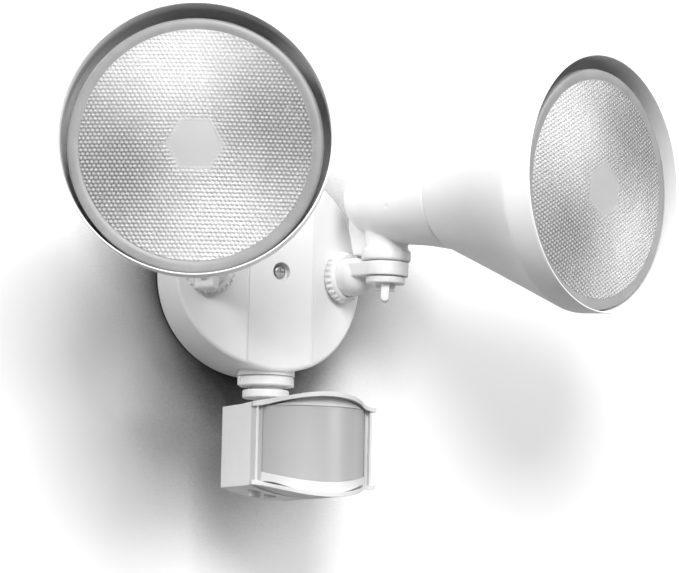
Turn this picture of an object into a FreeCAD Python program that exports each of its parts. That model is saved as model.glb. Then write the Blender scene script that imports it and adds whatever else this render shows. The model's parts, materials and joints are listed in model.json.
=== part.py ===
import FreeCAD, Part
import math
import os
import re

import Sketcher

# Twin-head security light. Millimetres and degrees.
# Origin: centre of the canopy's back, on the wall plane y = 0. The light faces -Y, Z is up.

sizes = {
    # canopy: a round box with a flat front panel and two side facets
    "canopy_radius": 54.0,
    "canopy_draft": 0.9,
    "canopy_depth": 44.0,
    "canopy_wall": 2.2,
    "canopy_round": 2.5,
    "panel_half": 18.5,
    "facet_angle": 25.0,
    "crease_width": 0.7,
    "crease_depth": 0.4,
    "gasket_thick": 1.6,
    "gasket_width": 2.8,
    "gasket_inset": 0.4,
    "recess_radius": 4.8,
    "recess_depth": 4.2,
    "recess_boss": 7.5,
    "cover_screw_radius": 2.0,
    "cover_screw_head": 3.6,
    "cover_screw_head_high": 2.3,
    "pad_radius": 15.2,
    "pad_proud": 0.6,
    "pad_deep": 6.6,
    # mounting strap
    "strap_gap": 0.8,
    "strap_width": 18.0,
    "strap_thick": 1.6,
    "strap_rise": 5.5,
    "strap_foot": 18.0,
    "ground_x": 20.0,
    "slot_margin": 5.55,
    "slot_long": 7.6,
    "slot_radius": 2.2,
    "ground_screw_head": 4.0,
    "ground_screw_head_high": 2.4,
    # arms: a threaded stem, a round barrel and a flat pivot eye
    "arm_hole_inset": 16.7,
    "hole_reach": 12.0,
    "stem_radius": 10.2,
    "stem_inside": 9.0,
    "stem_bore": 4.0,
    "arm_nut_radius": 14.0,
    "arm_nut_high": 6.8,
    "nut_ribs": 26.0,
    "nut_rib_radius": 1.0,
    "back_nut_radius": 13.4,
    "back_nut_high": 3.2,
    "barrel_radius": 10.25,
    "barrel_straight": 12.0,
    "barrel_end": 21.5,
    "arm_reach": 32.5,
    "eye_radius": 12.0,
    "eye_low": -1.3,
    "eye_high": 6.2,
    "right_droop": 1.5,
    "left_droop": 0.0,
    # wing screw
    "wing_screw_radius": 3.1,
    "wing_screw_into_boss": 9.0,
    "wing_flange_radius": 10.4,
    "wing_flange_thick": 3.6,
    "wing_tab_thick": 4.5,
    "wing_tab_wide": 13.0,
    "wing_tab_drop": 10.0,
    "wing_rib_wide": 10.7,
    "wing_rib_thick": 4.0,
    "wing_rib_drop": 3.8,
    "right_wing_turn": -50.0,
    "left_wing_turn": 50.0,
    # lampholder
    "head_lift": 40.3,
    "ring_radius": 13.1,
    "ring_high": 5.2,
    "ring_teeth": 36.0,
    "tooth_wide": 1.0,
    "tooth_high": 1.1,
    "tooth_inset": 0.3,
    "boss_radius": 11.5,
    "holder_wall": 2.0,
    "holder_back": -25.2,
    "holder_dome_z": -7.0,
    "holder_dome_radius": 19.6,
    "holder_mid_z": 14.0,
    "holder_mid_radius": 25.0,
    "holder_waist_z": 2.0,
    "holder_waist_radius": 22.8,
    "holder_front_z": 28.0,
    "holder_front_radius": 26.3,
    "neck_z": 45.8,
    "neck_radius": 29.3,
    "dimple_radius": 1.1,
    "dimple_deep": 0.8,
    "dimple_z": 18.5,
    "dimple_drop": 8.0,
    "gusset_thick": 4.6,
    "gusset_foot": 10.6,
    "gusset_back": -21.2,
    "gusset_mid": 23.7,
    "gusset_mid_back": -25.0,
    # shade
    "lip_z": 140.3,
    "lip_out": 0.5,
    "lip_bead": 0.9,
    "skirt_long": 16.0,
    "shade_wall": 1.0,
    "collar_long": 5.5,
    # lamp
    "lamp_droop": 1.25,
    "lamp_pivot_z": 12.0,
    "rim_recess": 4.7,
    "rim_gap": 3.0,
    "belly_gap": 4.2,
    "throat_gap": 4.8,
    "rim_radius": 60.5,
    "rim_high": 9.0,
    "rim_wide": 3.7,
    "lens_dome": 4.2,
    "lens_glass": 3.2,
    "lamp_rim_z": 130.0,
    "lamp_glass": 2.0,
    "lamp_neck_radius": 19.0,
    "lamp_neck_z": 34.0,
    "lamp_throat_z": 58.0,
    "lamp_belly_z": 92.0,
    "base_radius": 13.1,
    "base_top": 27.0,
    "capsule_radius": 6.0,
    "capsule_low": 58.0,
    "capsule_high": 92.0,
    # socket
    "socket_radius": 17.0,
    "socket_back": -8.0,
    "socket_front": 24.0,
    "socket_flange_high": 4.0,
    "socket_sleeve": 0.5,
    # motion sensor
    "sensor_stem_y": 26.2,
    "sensor_nut_radius": 14.6,
    "sensor_nut_high": 5.5,
    "sensor_nut_lug": 1.3,
    "sensor_stem_radius": 9.4,
    "sensor_stem_rise": 5.0,
    "flange_gap": 1.9,
    "flange_thick": 4.4,
    "flange_radius": 12.4,
    "sensor_neck_radius": 6.5,
    "sensor_neck_long": 5.1,
    "tilt_drop": 10.5,
    "knuckle_radius": 7.4,
    "knuckle_half": 5.0,
    "ear_thick": 3.5,
    "tilt_screw_radius": 2.5,
    "sensor_standoff": 19.4,
    "housing_deep": 38.4,
    "bezel_deep": 26.0,
    "sensor_half": 32.5,
    "sensor_over_tilt": 8.5,
    "sensor_high": 42.0,
    "sensor_arch": 5.6,
    "sensor_wall": 2.0,
    "visor_thick": 2.4,
    "visor_overhang": 5.0,
    "lip_wide": 2.1,
    "lip_bow": 19.0,
    "lip_flare": 0.3,
    "fascia_inset": 2.5,
    "fascia_setback": 22.0,
    "fascia_thick": 1.2,
    "bezel_wall": 1.3,
    "window_side": 1.2,
    "window_bow": 4.5,
    "window_top_rise": 3.0,
    "window_below_top": 4.5,
    "window_above_bottom": 6.7,
    "lens_film": 1.2,
    "pane_sunk": 0.35,
    "board_standoff": 18.4,
    "board_thick": 1.6,
    "board_inset": 5.5,
    "board_margin": 5.0,
    "knob_radius": 3.2,
    "knob_inset": 8.5,
    "knob_pitch": 9.0,
    "knob_forward": 6.0,
    "knob_proud": 0.4,
    "knob_head": 6.0,
    "knob_stem": 6.0,
    "knob_stem_radius": 1.6,
    "case_screw_radius": 1.1,
    "case_screw_hole": 1.2,
    "case_screw_long": 8.0,
    "case_screw_head": 2.4,
    "case_screw_head_high": 1.4,
    "case_screw_inset": 10.5,
    "case_screw_margin": 5.0,
    "can_radius": 4.1,
    "can_flange": 4.6,
    "can_high": 4.4,
    "photocell_radius": 2.5,
    "photocell_x": 18.0,
    "relay_x": 4.0,
    "relay_wide": 19.0,
    "relay_high": 15.0,
    "relay_deep": 15.0,
    "capacitor_radius": 5.0,
    "capacitor_long": 13.0,
    "capacitor_x": 14.0,
    "capacitor_rise": 12.5,
    # clearances
    "thread_gap": 0.05,
    "slip_gap": 0.3,
    "seat_gap": 0.1,
}

# sizes that follow from the ones above
worked_out = {
    "strap_half": "canopy_radius - gasket_inset - gasket_width - strap_gap",
    "strap_flat_half": "strap_half - strap_foot",
    "slot_spacing": "2 * (strap_half - slot_margin)",
    "arm_hole_x": "canopy_radius - arm_hole_inset",
    "skirt_radius": "rim_radius + rim_gap + shade_wall",
    "lip_radius": "skirt_radius + lip_out",
    "skirt_z": "lip_z - skirt_long",
    "shade_slope": "(skirt_radius - neck_radius) / (skirt_z - neck_z)",
    "lamp_shift": "lip_z - rim_recess - lamp_rim_z",
    "lens_radius": "rim_radius - rim_wide",
    "lamp_throat_radius": "neck_radius + shade_slope * (lamp_throat_z + lamp_shift - neck_z)"
                          " - shade_wall - throat_gap",
    "lamp_belly_radius": "neck_radius + shade_slope * (lamp_belly_z + lamp_shift - neck_z)"
                         " - shade_wall - belly_gap",
    "pad_low": "canopy_radius + pad_proud",
    "pad_high": "pad_low - pad_deep",
    "sensor_stem_top": "pad_high - sensor_stem_rise",
    "flange_top": "pad_low + sensor_nut_high + flange_gap",
    "sensor_neck_low": "flange_top + flange_thick + sensor_neck_long",
    "tilt_z": "sensor_neck_low + tilt_drop",
    "sensor_back_y": "sensor_stem_y + sensor_standoff",
    "sensor_split_y": "sensor_back_y + housing_deep",
    "sensor_front_y": "sensor_split_y + bezel_deep",
    "sensor_top": "tilt_z - sensor_over_tilt",
    "sensor_bottom": "sensor_top + sensor_high",
    "lip_half": "sensor_half + lip_wide",
    "lip_side_y": "sensor_front_y - lip_bow",
    "fascia_half": "sensor_half - fascia_inset",
    "fascia_side_y": "sensor_front_y - fascia_setback",
    "window_half": "fascia_half - window_side",
    "window_top": "sensor_top + window_below_top",
    "window_bottom": "sensor_bottom - window_above_bottom",
    "board_y": "sensor_back_y + board_standoff",
    "board_half": "sensor_half - board_inset",
    "board_top": "sensor_top + board_margin",
    "board_bottom": "sensor_bottom - board_margin",
    "time_knob_x": "knob_inset - sensor_half",
    "range_knob_x": "time_knob_x + knob_pitch",
    "knob_y": "board_y + knob_forward",
    "case_screw_x": "sensor_half - case_screw_inset",
    "case_screw_top": "sensor_top + case_screw_margin",
    "case_screw_bottom": "sensor_bottom - case_screw_margin",
}

doc = FreeCAD.newDocument("security_light")
sheet = doc.addObject("Spreadsheet::Sheet", "Sizes")
cells = {**sizes, **{name: "=" + formula for name, formula in worked_out.items()}}
for row, (alias, content) in enumerate(cells.items(), start=1):
    sheet.set("A%d" % row, alias)
    sheet.set("B%d" % row, str(content))
    sheet.setAlias("B%d" % row, alias)
doc.recompute()

alias_words = re.compile(r"[a-z][a-z_]*")
nodes = {}


def linked(expression):
    """The expression with each size's name pointing at its cell."""
    return alias_words.sub(lambda word: "Sizes." * (word.group() in cells) + word.group(), expression)


def value(expression):
    """The expression's number, in millimetres or degrees."""
    return float(sheet.evalExpression(expression))


def bind(thing, path, expression):
    thing.setExpression(path, linked(expression))


# ---- sketches and bodies ----

def arc_between(start, end, radius, turn):
    """The short arc from start to end; turn is +1 anticlockwise, -1 clockwise."""
    half = ((end[0] - start[0]) / 2, (end[1] - start[1]) / 2)
    half_chord = math.hypot(*half)
    lift = math.sqrt(max(radius ** 2 - half_chord ** 2, 0.0)) * turn / half_chord
    centre = (start[0] + half[0] - half[1] * lift, start[1] + half[1] + half[0] * lift)
    angle = [math.atan2(p[1] - centre[1], p[0] - centre[0]) for p in (start, end)]
    if turn < 0:
        angle.reverse()
    circle = Part.Circle(FreeCAD.Vector(*centre, 0), FreeCAD.Vector(0, 0, 1), radius)
    return Part.ArcOfCircle(circle, angle[0], angle[1])


def pin_point(sketch, edge, corner, x, y):
    """Ties one end of an edge to a place worked out from the sizes."""
    for kind, expression, axis_line in (("DistanceX", x, -2), ("DistanceY", y, -1)):
        if expression == "0":
            sketch.addConstraint(Sketcher.Constraint("PointOnObject", edge, corner, axis_line))
        else:
            index = sketch.addConstraint(Sketcher.Constraint(kind, edge, corner, value(expression)))
            bind(sketch, "Constraints[%d]" % index, expression)


def draw_outline(sketch, path):
    """A closed outline. Each step is (x, y), reached by a line, or (x, y, radius, turn), by an arc."""
    points = [(value(step[0]), value(step[1])) for step in path]
    ends = []
    for index, step in enumerate(path):
        start, end = points[index - 1], points[index]
        if len(step) == 2:
            edge = sketch.addGeometry(Part.LineSegment(FreeCAD.Vector(*start, 0), FreeCAD.Vector(*end, 0)))
            ends.append((edge, 1, 2))
        else:
            arc = arc_between(start, end, value(step[2]), step[3])
            edge = sketch.addGeometry(arc)
            ends.append((edge, 1, 2) if step[3] > 0 else (edge, 2, 1))
            radius = sketch.addConstraint(Sketcher.Constraint("Radius", edge, value(step[2])))
            bind(sketch, "Constraints[%d]" % radius, step[2])
    for index, step in enumerate(path):
        edge, _, last = ends[index]
        after, first, _ = ends[(index + 1) % len(path)]
        sketch.addConstraint(Sketcher.Constraint("Coincident", edge, last, after, first))
        pin_point(sketch, edge, last, step[0], step[1])


def cap_radius(half, rise):
    """The radius of a cap of that half width and rise, with its centre on the axis."""
    return "((%s) ^ 2 + (%s) ^ 2) / (2 * (%s))" % (half, rise, rise)


def new_body(name):
    body = doc.addObject("PartDesign::Body", name)
    body.Label = name
    return body


def new_sketch(body, role, path, offset="0"):
    sketch = body.newObject("Sketcher::SketchObject", body.Name + "_sketch")
    plane = next(feature for feature in body.Origin.OriginFeatures if feature.Role == role)
    sketch.AttachmentSupport = [(plane, "")]
    sketch.MapMode = "FlatFace"
    bind(sketch, "AttachmentOffset.Base.z", offset)
    draw_outline(sketch, path)
    return sketch


def turned(name, path):
    """A body of revolution about its Z axis; the path holds (radius, z) steps."""
    body = new_body(name)
    feature = body.newObject("PartDesign::Revolution", name + "_turn")
    sketch = new_sketch(body, "XZ_Plane", path)
    feature.Profile = sketch
    feature.ReferenceAxis = (sketch, ["V_Axis"])
    feature.Angle = 360
    body.Tip = feature
    return body


def prism(name, across, path, low, high):
    """A body with a constant section, from low to high along the axis named by across."""
    role = {"X": "YZ_Plane", "Y": "XZ_Plane", "Z": "XY_Plane"}[across]
    offset = "-(%s)" % high if across == "Y" else low
    body = new_body(name)
    feature = body.newObject("PartDesign::Pad", name + "_pad")
    feature.Profile = new_sketch(body, role, path, offset)
    bind(feature, "Length", "(%s) - (%s)" % (high, low))
    body.Tip = feature
    return body


def spread(body, feature, count, axis_role="Z_Axis"):
    """Repeats a feature of the body all round an axis."""
    pattern = body.newObject("PartDesign::PolarPattern", body.Name + "_round")
    axis_line = next(part for part in body.Origin.OriginFeatures if part.Role == axis_role)
    pattern.Originals = [feature]
    pattern.Axis = (axis_line, [""])
    pattern.Angle = 360
    bind(pattern, "Occurrences", count)
    body.Tip = pattern
    return pattern


# ---- primitives and booleans ----

def turn_to(axis):
    """The rotation that takes Z to the named axis."""
    turns = {"Z": (0, 0, 1), "X": (1, 0, 0), "Y": (0, 1, 0), "-X": (-1, 0, 0), "-Y": (0, -1, 0)}
    return FreeCAD.Rotation(FreeCAD.Vector(0, 0, 1), FreeCAD.Vector(*turns[axis]))


def put(thing, x, y, z):
    for letter, expression in (("x", x), ("y", y), ("z", z)):
        bind(thing, "Placement.Base." + letter, expression)


def rod(name, radius, length, axis="Z", at=("0", "0", "0")):
    """A round bar along an axis. With at left as None it stands at its own origin, free to be moved."""
    thing = doc.addObject("Part::Cylinder", name)
    bind(thing, "Radius", radius)
    bind(thing, "Height", length)
    thing.Placement.Rotation = turn_to(axis)
    if at is not None:
        put(thing, *at)
    return thing


def block(name, low, high):
    thing = doc.addObject("Part::Box", name)
    for side, start, end in zip(("Length", "Width", "Height"), low, high):
        bind(thing, side, "(%s) - (%s)" % (end, start))
    put(thing, *low)
    return thing


def fuse(name, shapes):
    thing = doc.addObject("Part::MultiFuse", name)
    thing.Shapes = shapes
    thing.Label = name
    return thing


def cut(name, base, tools):
    thing = doc.addObject("Part::Cut", name)
    thing.Base = base
    thing.Tool = tools[0] if len(tools) == 1 else fuse(name + "_tools", tools)
    thing.Label = name
    return thing


def common(name, first, second):
    thing = doc.addObject("Part::Common", name)
    thing.Base = first
    thing.Tool = second
    thing.Label = name
    return thing


def ready(name, thing, frame=None):
    """Names a finished sub-part and moves it to its frame."""
    thing.Label = name
    if frame is not None:
        thing.Placement = frame
    nodes[name] = thing


# ---- frames ----

def pointing(origin, yaw, pitch):
    """A frame whose Z axis points out from the wall, turned by yaw towards +X and lifted by pitch."""
    turn, lift = math.radians(yaw), math.radians(pitch)
    out = FreeCAD.Vector(math.sin(turn) * math.cos(lift), -math.cos(turn) * math.cos(lift), math.sin(lift))
    up = FreeCAD.Vector(-math.sin(turn) * math.sin(lift), math.cos(turn) * math.sin(lift), math.cos(lift))
    across = up.cross(out)
    return FreeCAD.Placement(FreeCAD.Matrix(across.x, up.x, out.x, origin.x, across.y, up.y, out.y, origin.y,
                                            across.z, up.z, out.z, origin.z, 0, 0, 0, 1))


def shifted(frame, x=0.0, y=0.0, z=0.0, pitch=0.0, turn=0.0):
    """The frame moved in its own axes, then pitched about X or turned about Y."""
    move = FreeCAD.Placement(FreeCAD.Vector(x, y, z), FreeCAD.Rotation())
    tip = FreeCAD.Placement(FreeCAD.Vector(), FreeCAD.Rotation(FreeCAD.Vector(1, 0, 0), -pitch))
    spin = FreeCAD.Placement(FreeCAD.Vector(), FreeCAD.Rotation(FreeCAD.Vector(0, 1, 0), turn))
    return frame * move * tip * spin


facet_out = "(canopy_depth - (arm_hole_x - panel_half) * tan(facet_angle))"
canopy_frame = pointing(FreeCAD.Vector(), 0, 0)


def arm_frame(side):
    """On the facet at the arm's hole, Z along the facet's normal. side is +1 right, -1 left."""
    origin = FreeCAD.Vector(side * value("arm_hole_x"), -value(facet_out), 0)
    return pointing(origin, side * value("facet_angle"), 0)


def pivot_frame(side, droop):
    """On the pivot's axis at the height of the arm's axis, tilted with the head's droop."""
    return shifted(arm_frame(side), z=value("arm_reach"), pitch=-value(droop))


# ---- canopy ----

def canopy_block(name, shrink):
    """The canopy's outer form, drawn in from every side by shrink."""
    body_radius = "(canopy_radius - %s)" % shrink
    front = "(canopy_depth - %s)" % shrink
    back = "gasket_thick" if shrink == "0" else "-1"
    far = "(canopy_radius + 10)"
    # where the offset facet meets the offset panel, and how far out it is at the far edge
    corner = "(panel_half - %s * (1 / cos(facet_angle) - 1) / tan(facet_angle))" % shrink
    edge = "(%s - (%s - %s) * tan(facet_angle))" % (front, far, corner)
    drum = turned(name + "_drum", [("0", back), (body_radius, back),
                                   (body_radius + " - canopy_draft", "canopy_depth + 1"),
                                   ("0", "canopy_depth + 1")])
    plan = prism(name + "_plan", "Y", [(far, "-2"), (far, edge), (corner, front), ("-" + corner, front),
                                       ("-" + far, edge), ("-" + far, "-2")], "-" + far, far)
    return common(name, drum, plan)


def rounded_front(name, base):
    """Rounds the edges where the front faces meet the drum."""
    doc.recompute()
    picked = []
    for index, edge in enumerate(base.Shape.Edges, start=1):
        middle = edge.valueAt((edge.FirstParameter + edge.LastParameter) / 2)
        reach = math.hypot(middle.x, middle.y)
        if reach > value("canopy_radius - 2 * canopy_draft - 0.5") and middle.z > value("gasket_thick + 3"):
            picked.append((index, value("canopy_round"), value("canopy_round")))
    thing = doc.addObject("Part::Fillet", name)
    thing.Base = base
    thing.Edges = picked
    return thing


def make_canopy():
    outer = rounded_front("canopy_rounded", canopy_block("canopy_outer", "0"))
    hollow = canopy_block("canopy_hollow", "canopy_wall")
    shell = cut("canopy_shell", outer, [hollow])
    boss = rod("canopy_boss", "recess_boss", "recess_depth + 3", "Z",
               ("0", "0", "canopy_depth - recess_depth - 3.5"))
    pad = rod("canopy_pad", "pad_radius", "pad_low - pad_high", "Y", ("0", "-pad_low", "sensor_stem_y"))
    solid = fuse("canopy_solid", [shell, boss, pad])
    tools = [rod("canopy_recess", "recess_radius", "recess_depth + 1", "Z",
                 ("0", "0", "canopy_depth - recess_depth")),
             rod("canopy_screw_hole", "cover_screw_radius + slip_gap", "canopy_depth", "Z", ("0", "0", "10")),
             rod("canopy_stem_hole", "sensor_stem_radius + thread_gap", "20", "Y",
                 ("0", "-pad_low - 5", "sensor_stem_y"))]
    for side in (1, -1):
        hole = rod("canopy_arm_hole", "stem_radius + thread_gap", "2 * hole_reach", at=None)
        hole.Placement = canopy_frame.inverse() * shifted(arm_frame(side), z=-value("hole_reach"))
        tools.append(hole)
        middle = "panel_half" if side > 0 else "-panel_half"
        tools.append(block("canopy_crease", (middle + " - crease_width / 2", "-canopy_radius",
                                             "canopy_depth - crease_depth"),
                           (middle + " + crease_width / 2", "canopy_radius", "canopy_depth + 1")))
    ready("canopy_cover", cut("canopy_cover", solid, tools), canopy_frame)


def make_gasket():
    outer = "canopy_radius - gasket_inset"
    inner = outer + " - gasket_width"
    ring = turned("canopy_gasket", [(inner, "0"), (outer, "0"), (outer, "gasket_thick"),
                                    (inner, "gasket_thick")])
    ready("canopy_gasket", ring, canopy_frame)


def make_strap():
    top = "(strap_rise + strap_thick)"
    low_half = "(strap_flat_half + strap_rise)"
    profile = [("strap_half", "0"), ("strap_half", "strap_thick"), (low_half, "strap_thick"),
               ("strap_flat_half", top), ("-strap_flat_half", top), ("-" + low_half, "strap_thick"),
               ("-strap_half", "strap_thick"), ("-strap_half", "0"), ("-%s - 1" % low_half, "0"),
               ("-strap_flat_half - 0.6", "strap_rise"), ("strap_flat_half + 0.6", "strap_rise"),
               (low_half + " + 1", "0")]
    bar = prism("strap_bar", "Y", profile, "-strap_width / 2", "strap_width / 2")
    tools = [rod("strap_tap", "cover_screw_radius + thread_gap", "strap_rise + 8", "Z", ("0", "0", "0")),
             rod("strap_ground_tap", "cover_screw_radius + thread_gap", "strap_rise + 8", "Z",
                 ("ground_x", "0", "0"))]
    for sign in ("", "-"):
        centre = sign + "slot_spacing / 2"
        reach = "(slot_long / 2 - slot_radius)"
        tools.append(block("strap_slot", (centre + " - " + reach, "-slot_radius", "-1"),
                           (centre + " + " + reach, "slot_radius", "strap_thick + 1")))
        for end in (" - ", " + "):
            tools.append(rod("strap_slot_end", "slot_radius", "strap_thick + 2", "Z",
                             (centre + end + reach, "0", "-1")))
    ready("mounting_strap", cut("mounting_strap", bar, tools), canopy_frame)


def cross_screw(name, radius, head_radius, head_high, under_head, shank_end):
    """A cross-head screw whose head rises from under_head and whose shank ends at shank_end."""
    top = "(%s + %s)" % (under_head, head_high)
    crown = turned(name + "_blank", [("0", shank_end), (radius + " - 0.4", shank_end),
                                     (radius, shank_end + " + 0.6"), (radius, under_head),
                                     (head_radius, under_head), (head_radius, under_head + " + 0.9"),
                                     (head_radius + " - 1.2", top, "2.2", 1), ("0", top)])
    slots = [block(name + "_slot", (a[0], a[1], top + " - 1.5"), (a[2], a[3], top + " + 1"))
             for a in (("-2.1", "-0.45", "2.1", "0.45"), ("-0.45", "-2.1", "0.45", "2.1"))]
    return cut(name, crown, slots)


def make_fixings():
    seat = "(canopy_depth - recess_depth)"
    ready("canopy_screw", cross_screw("canopy_screw", "cover_screw_radius", "cover_screw_head",
                                      "cover_screw_head_high", seat, "strap_rise - 2"), canopy_frame)
    ground = cross_screw("ground_screw", "cover_screw_radius", "ground_screw_head", "ground_screw_head_high",
                         "(strap_rise + strap_thick)", "1.0")
    ready("ground_screw", ground, shifted(canopy_frame, x=value("ground_x")))


# ---- arms ----

def ribbed_nut(name):
    """A hand lock nut with a rounded front and ribs all round."""
    rim = "(arm_nut_radius - 0.6)"
    bore = "stem_radius + thread_gap"
    body = turned(name, [(bore, "0.1"), (rim + " - 0.8", "0.1"), (rim, "0.9"), (rim, "arm_nut_high - 2.4"),
                         (rim + " - 2", "arm_nut_high", "2.6", 1), (bore, "arm_nut_high")])
    rib = body.newObject("PartDesign::Pad", name + "_rib")
    sketch = body.newObject("Sketcher::SketchObject", name + "_rib_sketch")
    plane = next(feature for feature in body.Origin.OriginFeatures if feature.Role == "XY_Plane")
    sketch.AttachmentSupport = [(plane, "")]
    sketch.MapMode = "FlatFace"
    bind(sketch, "AttachmentOffset.Base.z", "1.0")
    centre = "arm_nut_radius - nut_rib_radius"
    circle = sketch.addGeometry(Part.Circle(FreeCAD.Vector(value(centre), 0, 0), FreeCAD.Vector(0, 0, 1),
                                            value("nut_rib_radius")))
    size = sketch.addConstraint(Sketcher.Constraint("Radius", circle, value("nut_rib_radius")))
    bind(sketch, "Constraints[%d]" % size, "nut_rib_radius")
    pin_point(sketch, circle, 3, centre, "0")
    rib.Profile = sketch
    bind(rib, "Length", "arm_nut_high - 3")
    body.Tip = rib
    spread(body, rib, "nut_ribs")
    return body


def back_nut(name, bore, radius):
    """A flat hexagonal nut."""
    corners = []
    for step in range(6):
        angle = 60 * step
        corners.append(("(%s) * cos(%d)" % (radius, angle),
                        "(%s) * sin(%d)" % (radius, angle) if angle % 180 else "0"))
    blank = prism(name + "_blank", "Z", corners, "0", "back_nut_high")
    return cut(name, blank, [rod(name + "_bore", bore, "back_nut_high + 2", "Z", ("0", "0", "-1"))])


def arm_solid(name, droop):
    """The arm in its own frame: Z along the stem, Y up, the pivot eye at arm_reach."""
    stem = rod(name + "_stem", "stem_radius", "stem_inside + arm_nut_high + 1", "Z",
               ("0", "0", "-stem_inside"))
    crown = cap_radius("barrel_radius", "barrel_end - barrel_straight")
    nose = turned(name + "_nose", [("0", "arm_nut_high + 0.2"), ("barrel_radius", "arm_nut_high + 0.2"),
                                   ("barrel_radius", "barrel_straight"), ("0", "barrel_end", crown, 1)])
    shave = block(name + "_shave",
                  ("-barrel_radius - 1", "eye_high", "arm_reach - ring_radius - slip_gap - 1"),
                  ("barrel_radius + 1", "barrel_radius + 2", "barrel_end + 1"))
    barrel = cut(name + "_barrel", nose, [shave])
    root = "-arm_reach + barrel_straight - 3"
    plate = prism(name + "_plate", "Y", [("-barrel_radius + 2.2", root), ("barrel_radius - 2.2", root),
                                         ("eye_radius - 0.3", "0"), ("-eye_radius + 0.3", "0")],
                  "eye_low", "eye_high")
    disc = rod(name + "_disc", "eye_radius", "eye_high - eye_low", "Y", ("0", "eye_low", "0"))
    eye = fuse(name + "_eye", [plate, disc])
    eye.Placement = shifted(FreeCAD.Placement(), z=value("arm_reach"), pitch=-value(droop))
    pin = rod(name + "_pin_hole", "wing_screw_radius + thread_gap", "30", "Y", at=None)
    pin.Placement = shifted(eye.Placement, y=-15.0) * FreeCAD.Placement(FreeCAD.Vector(), turn_to("Y"))
    bore = rod(name + "_bore", "stem_bore", "stem_inside + barrel_straight + 4.5", "Z",
               ("0", "0", "-stem_inside - 1"))
    way = rod(name + "_way", "stem_bore - 1", "barrel_radius + 1", "Y", ("0", "0", "barrel_straight - 1"))
    return cut(name, fuse(name + "_solid", [stem, barrel, eye]), [pin, bore, way])


def make_arm(side, word, droop):
    frame = arm_frame(side)
    ready(word + "_arm_lock_nut", ribbed_nut(word + "_arm_lock_nut"), frame)
    inside = shifted(frame, z=-value("canopy_wall + back_nut_high + 0.1"))
    ready(word + "_arm_back_nut", back_nut(word + "_arm_back_nut", "stem_radius + thread_gap",
                                           "back_nut_radius"), inside)
    ready(word + "_arm", arm_solid(word + "_arm", droop), frame)
    make_wing_screw(side, word, droop)


def make_wing_screw(side, word, droop):
    name = word + "_wing_screw"
    seat = "(eye_low - slip_gap)"
    under = "(%s - wing_flange_thick)" % seat
    shank = rod(name + "_shank", "wing_screw_radius", "eye_high + slip_gap + wing_screw_into_boss - " + under,
                "Y", ("0", under, "0"))
    flange = rod(name + "_flange", "wing_flange_radius", "wing_flange_thick", "Y", ("0", under, "0"))
    half = "(wing_tab_thick / 2)"
    low = "(%s - wing_tab_drop)" % under
    foot = low + " + " + half
    tab = prism(name + "_tab", "Z", [(half, under + " + 1"), ("-" + half, under + " + 1"), ("-" + half, foot),
                                     (half, foot, half + " + 0.01", 1)],
                "-wing_tab_wide / 2", "wing_tab_wide / 2")
    rib = block(name + "_rib", ("-wing_rib_wide / 2", under + " - wing_rib_drop", "-wing_rib_thick / 2"),
                ("wing_rib_wide / 2", under + " + 1", "wing_rib_thick / 2"))
    frame = shifted(pivot_frame(side, droop), turn=value(word + "_wing_turn"))
    ready(name, fuse(name, [shank, flange, tab, rib]), frame)


# ---- heads ----

def toothed_ring(name):
    """The ring at the foot of the lampholder's boss, with a crown of fine teeth on its upper edge."""
    low = "0"
    body = turned(name, [("0", low), ("ring_radius - 0.8", low), ("ring_radius", "0.8"),
                         ("ring_radius", "ring_high"), ("boss_radius - 1", "ring_high"),
                         ("boss_radius - 1", "ring_high + 0.4"), ("0", "ring_high + 0.4")])
    tooth = body.newObject("PartDesign::Pad", name + "_tooth")
    half = "tooth_wide / 2"
    tooth.Profile = new_sketch(body, "XY_Plane", [("boss_radius - 1.5", "-" + half),
                                                  ("ring_radius - tooth_inset", "-" + half),
                                                  ("ring_radius - tooth_inset", half),
                                                  ("boss_radius - 1.5", half)],
                               "ring_high - 0.1")
    bind(tooth, "Length", "tooth_high + 0.1")
    body.Tip = tooth
    spread(body, tooth, "ring_teeth")
    return body


def holder_profile(inset):
    """The lampholder's outline, drawn in by inset: a domed back, a swelling middle and the neck."""
    dome = "holder_dome_radius - " + inset
    rise = "holder_dome_z - holder_back - " + inset
    return [("0", "holder_back + " + inset), (dome, "holder_dome_z", cap_radius(dome, rise), 1),
            ("holder_waist_radius - " + inset, "holder_waist_z"),
            ("holder_mid_radius - " + inset, "holder_mid_z"),
            ("holder_front_radius - " + inset, "holder_front_z"),
            ("neck_radius - " + inset, "neck_z"), ("0", "neck_z")]


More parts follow.
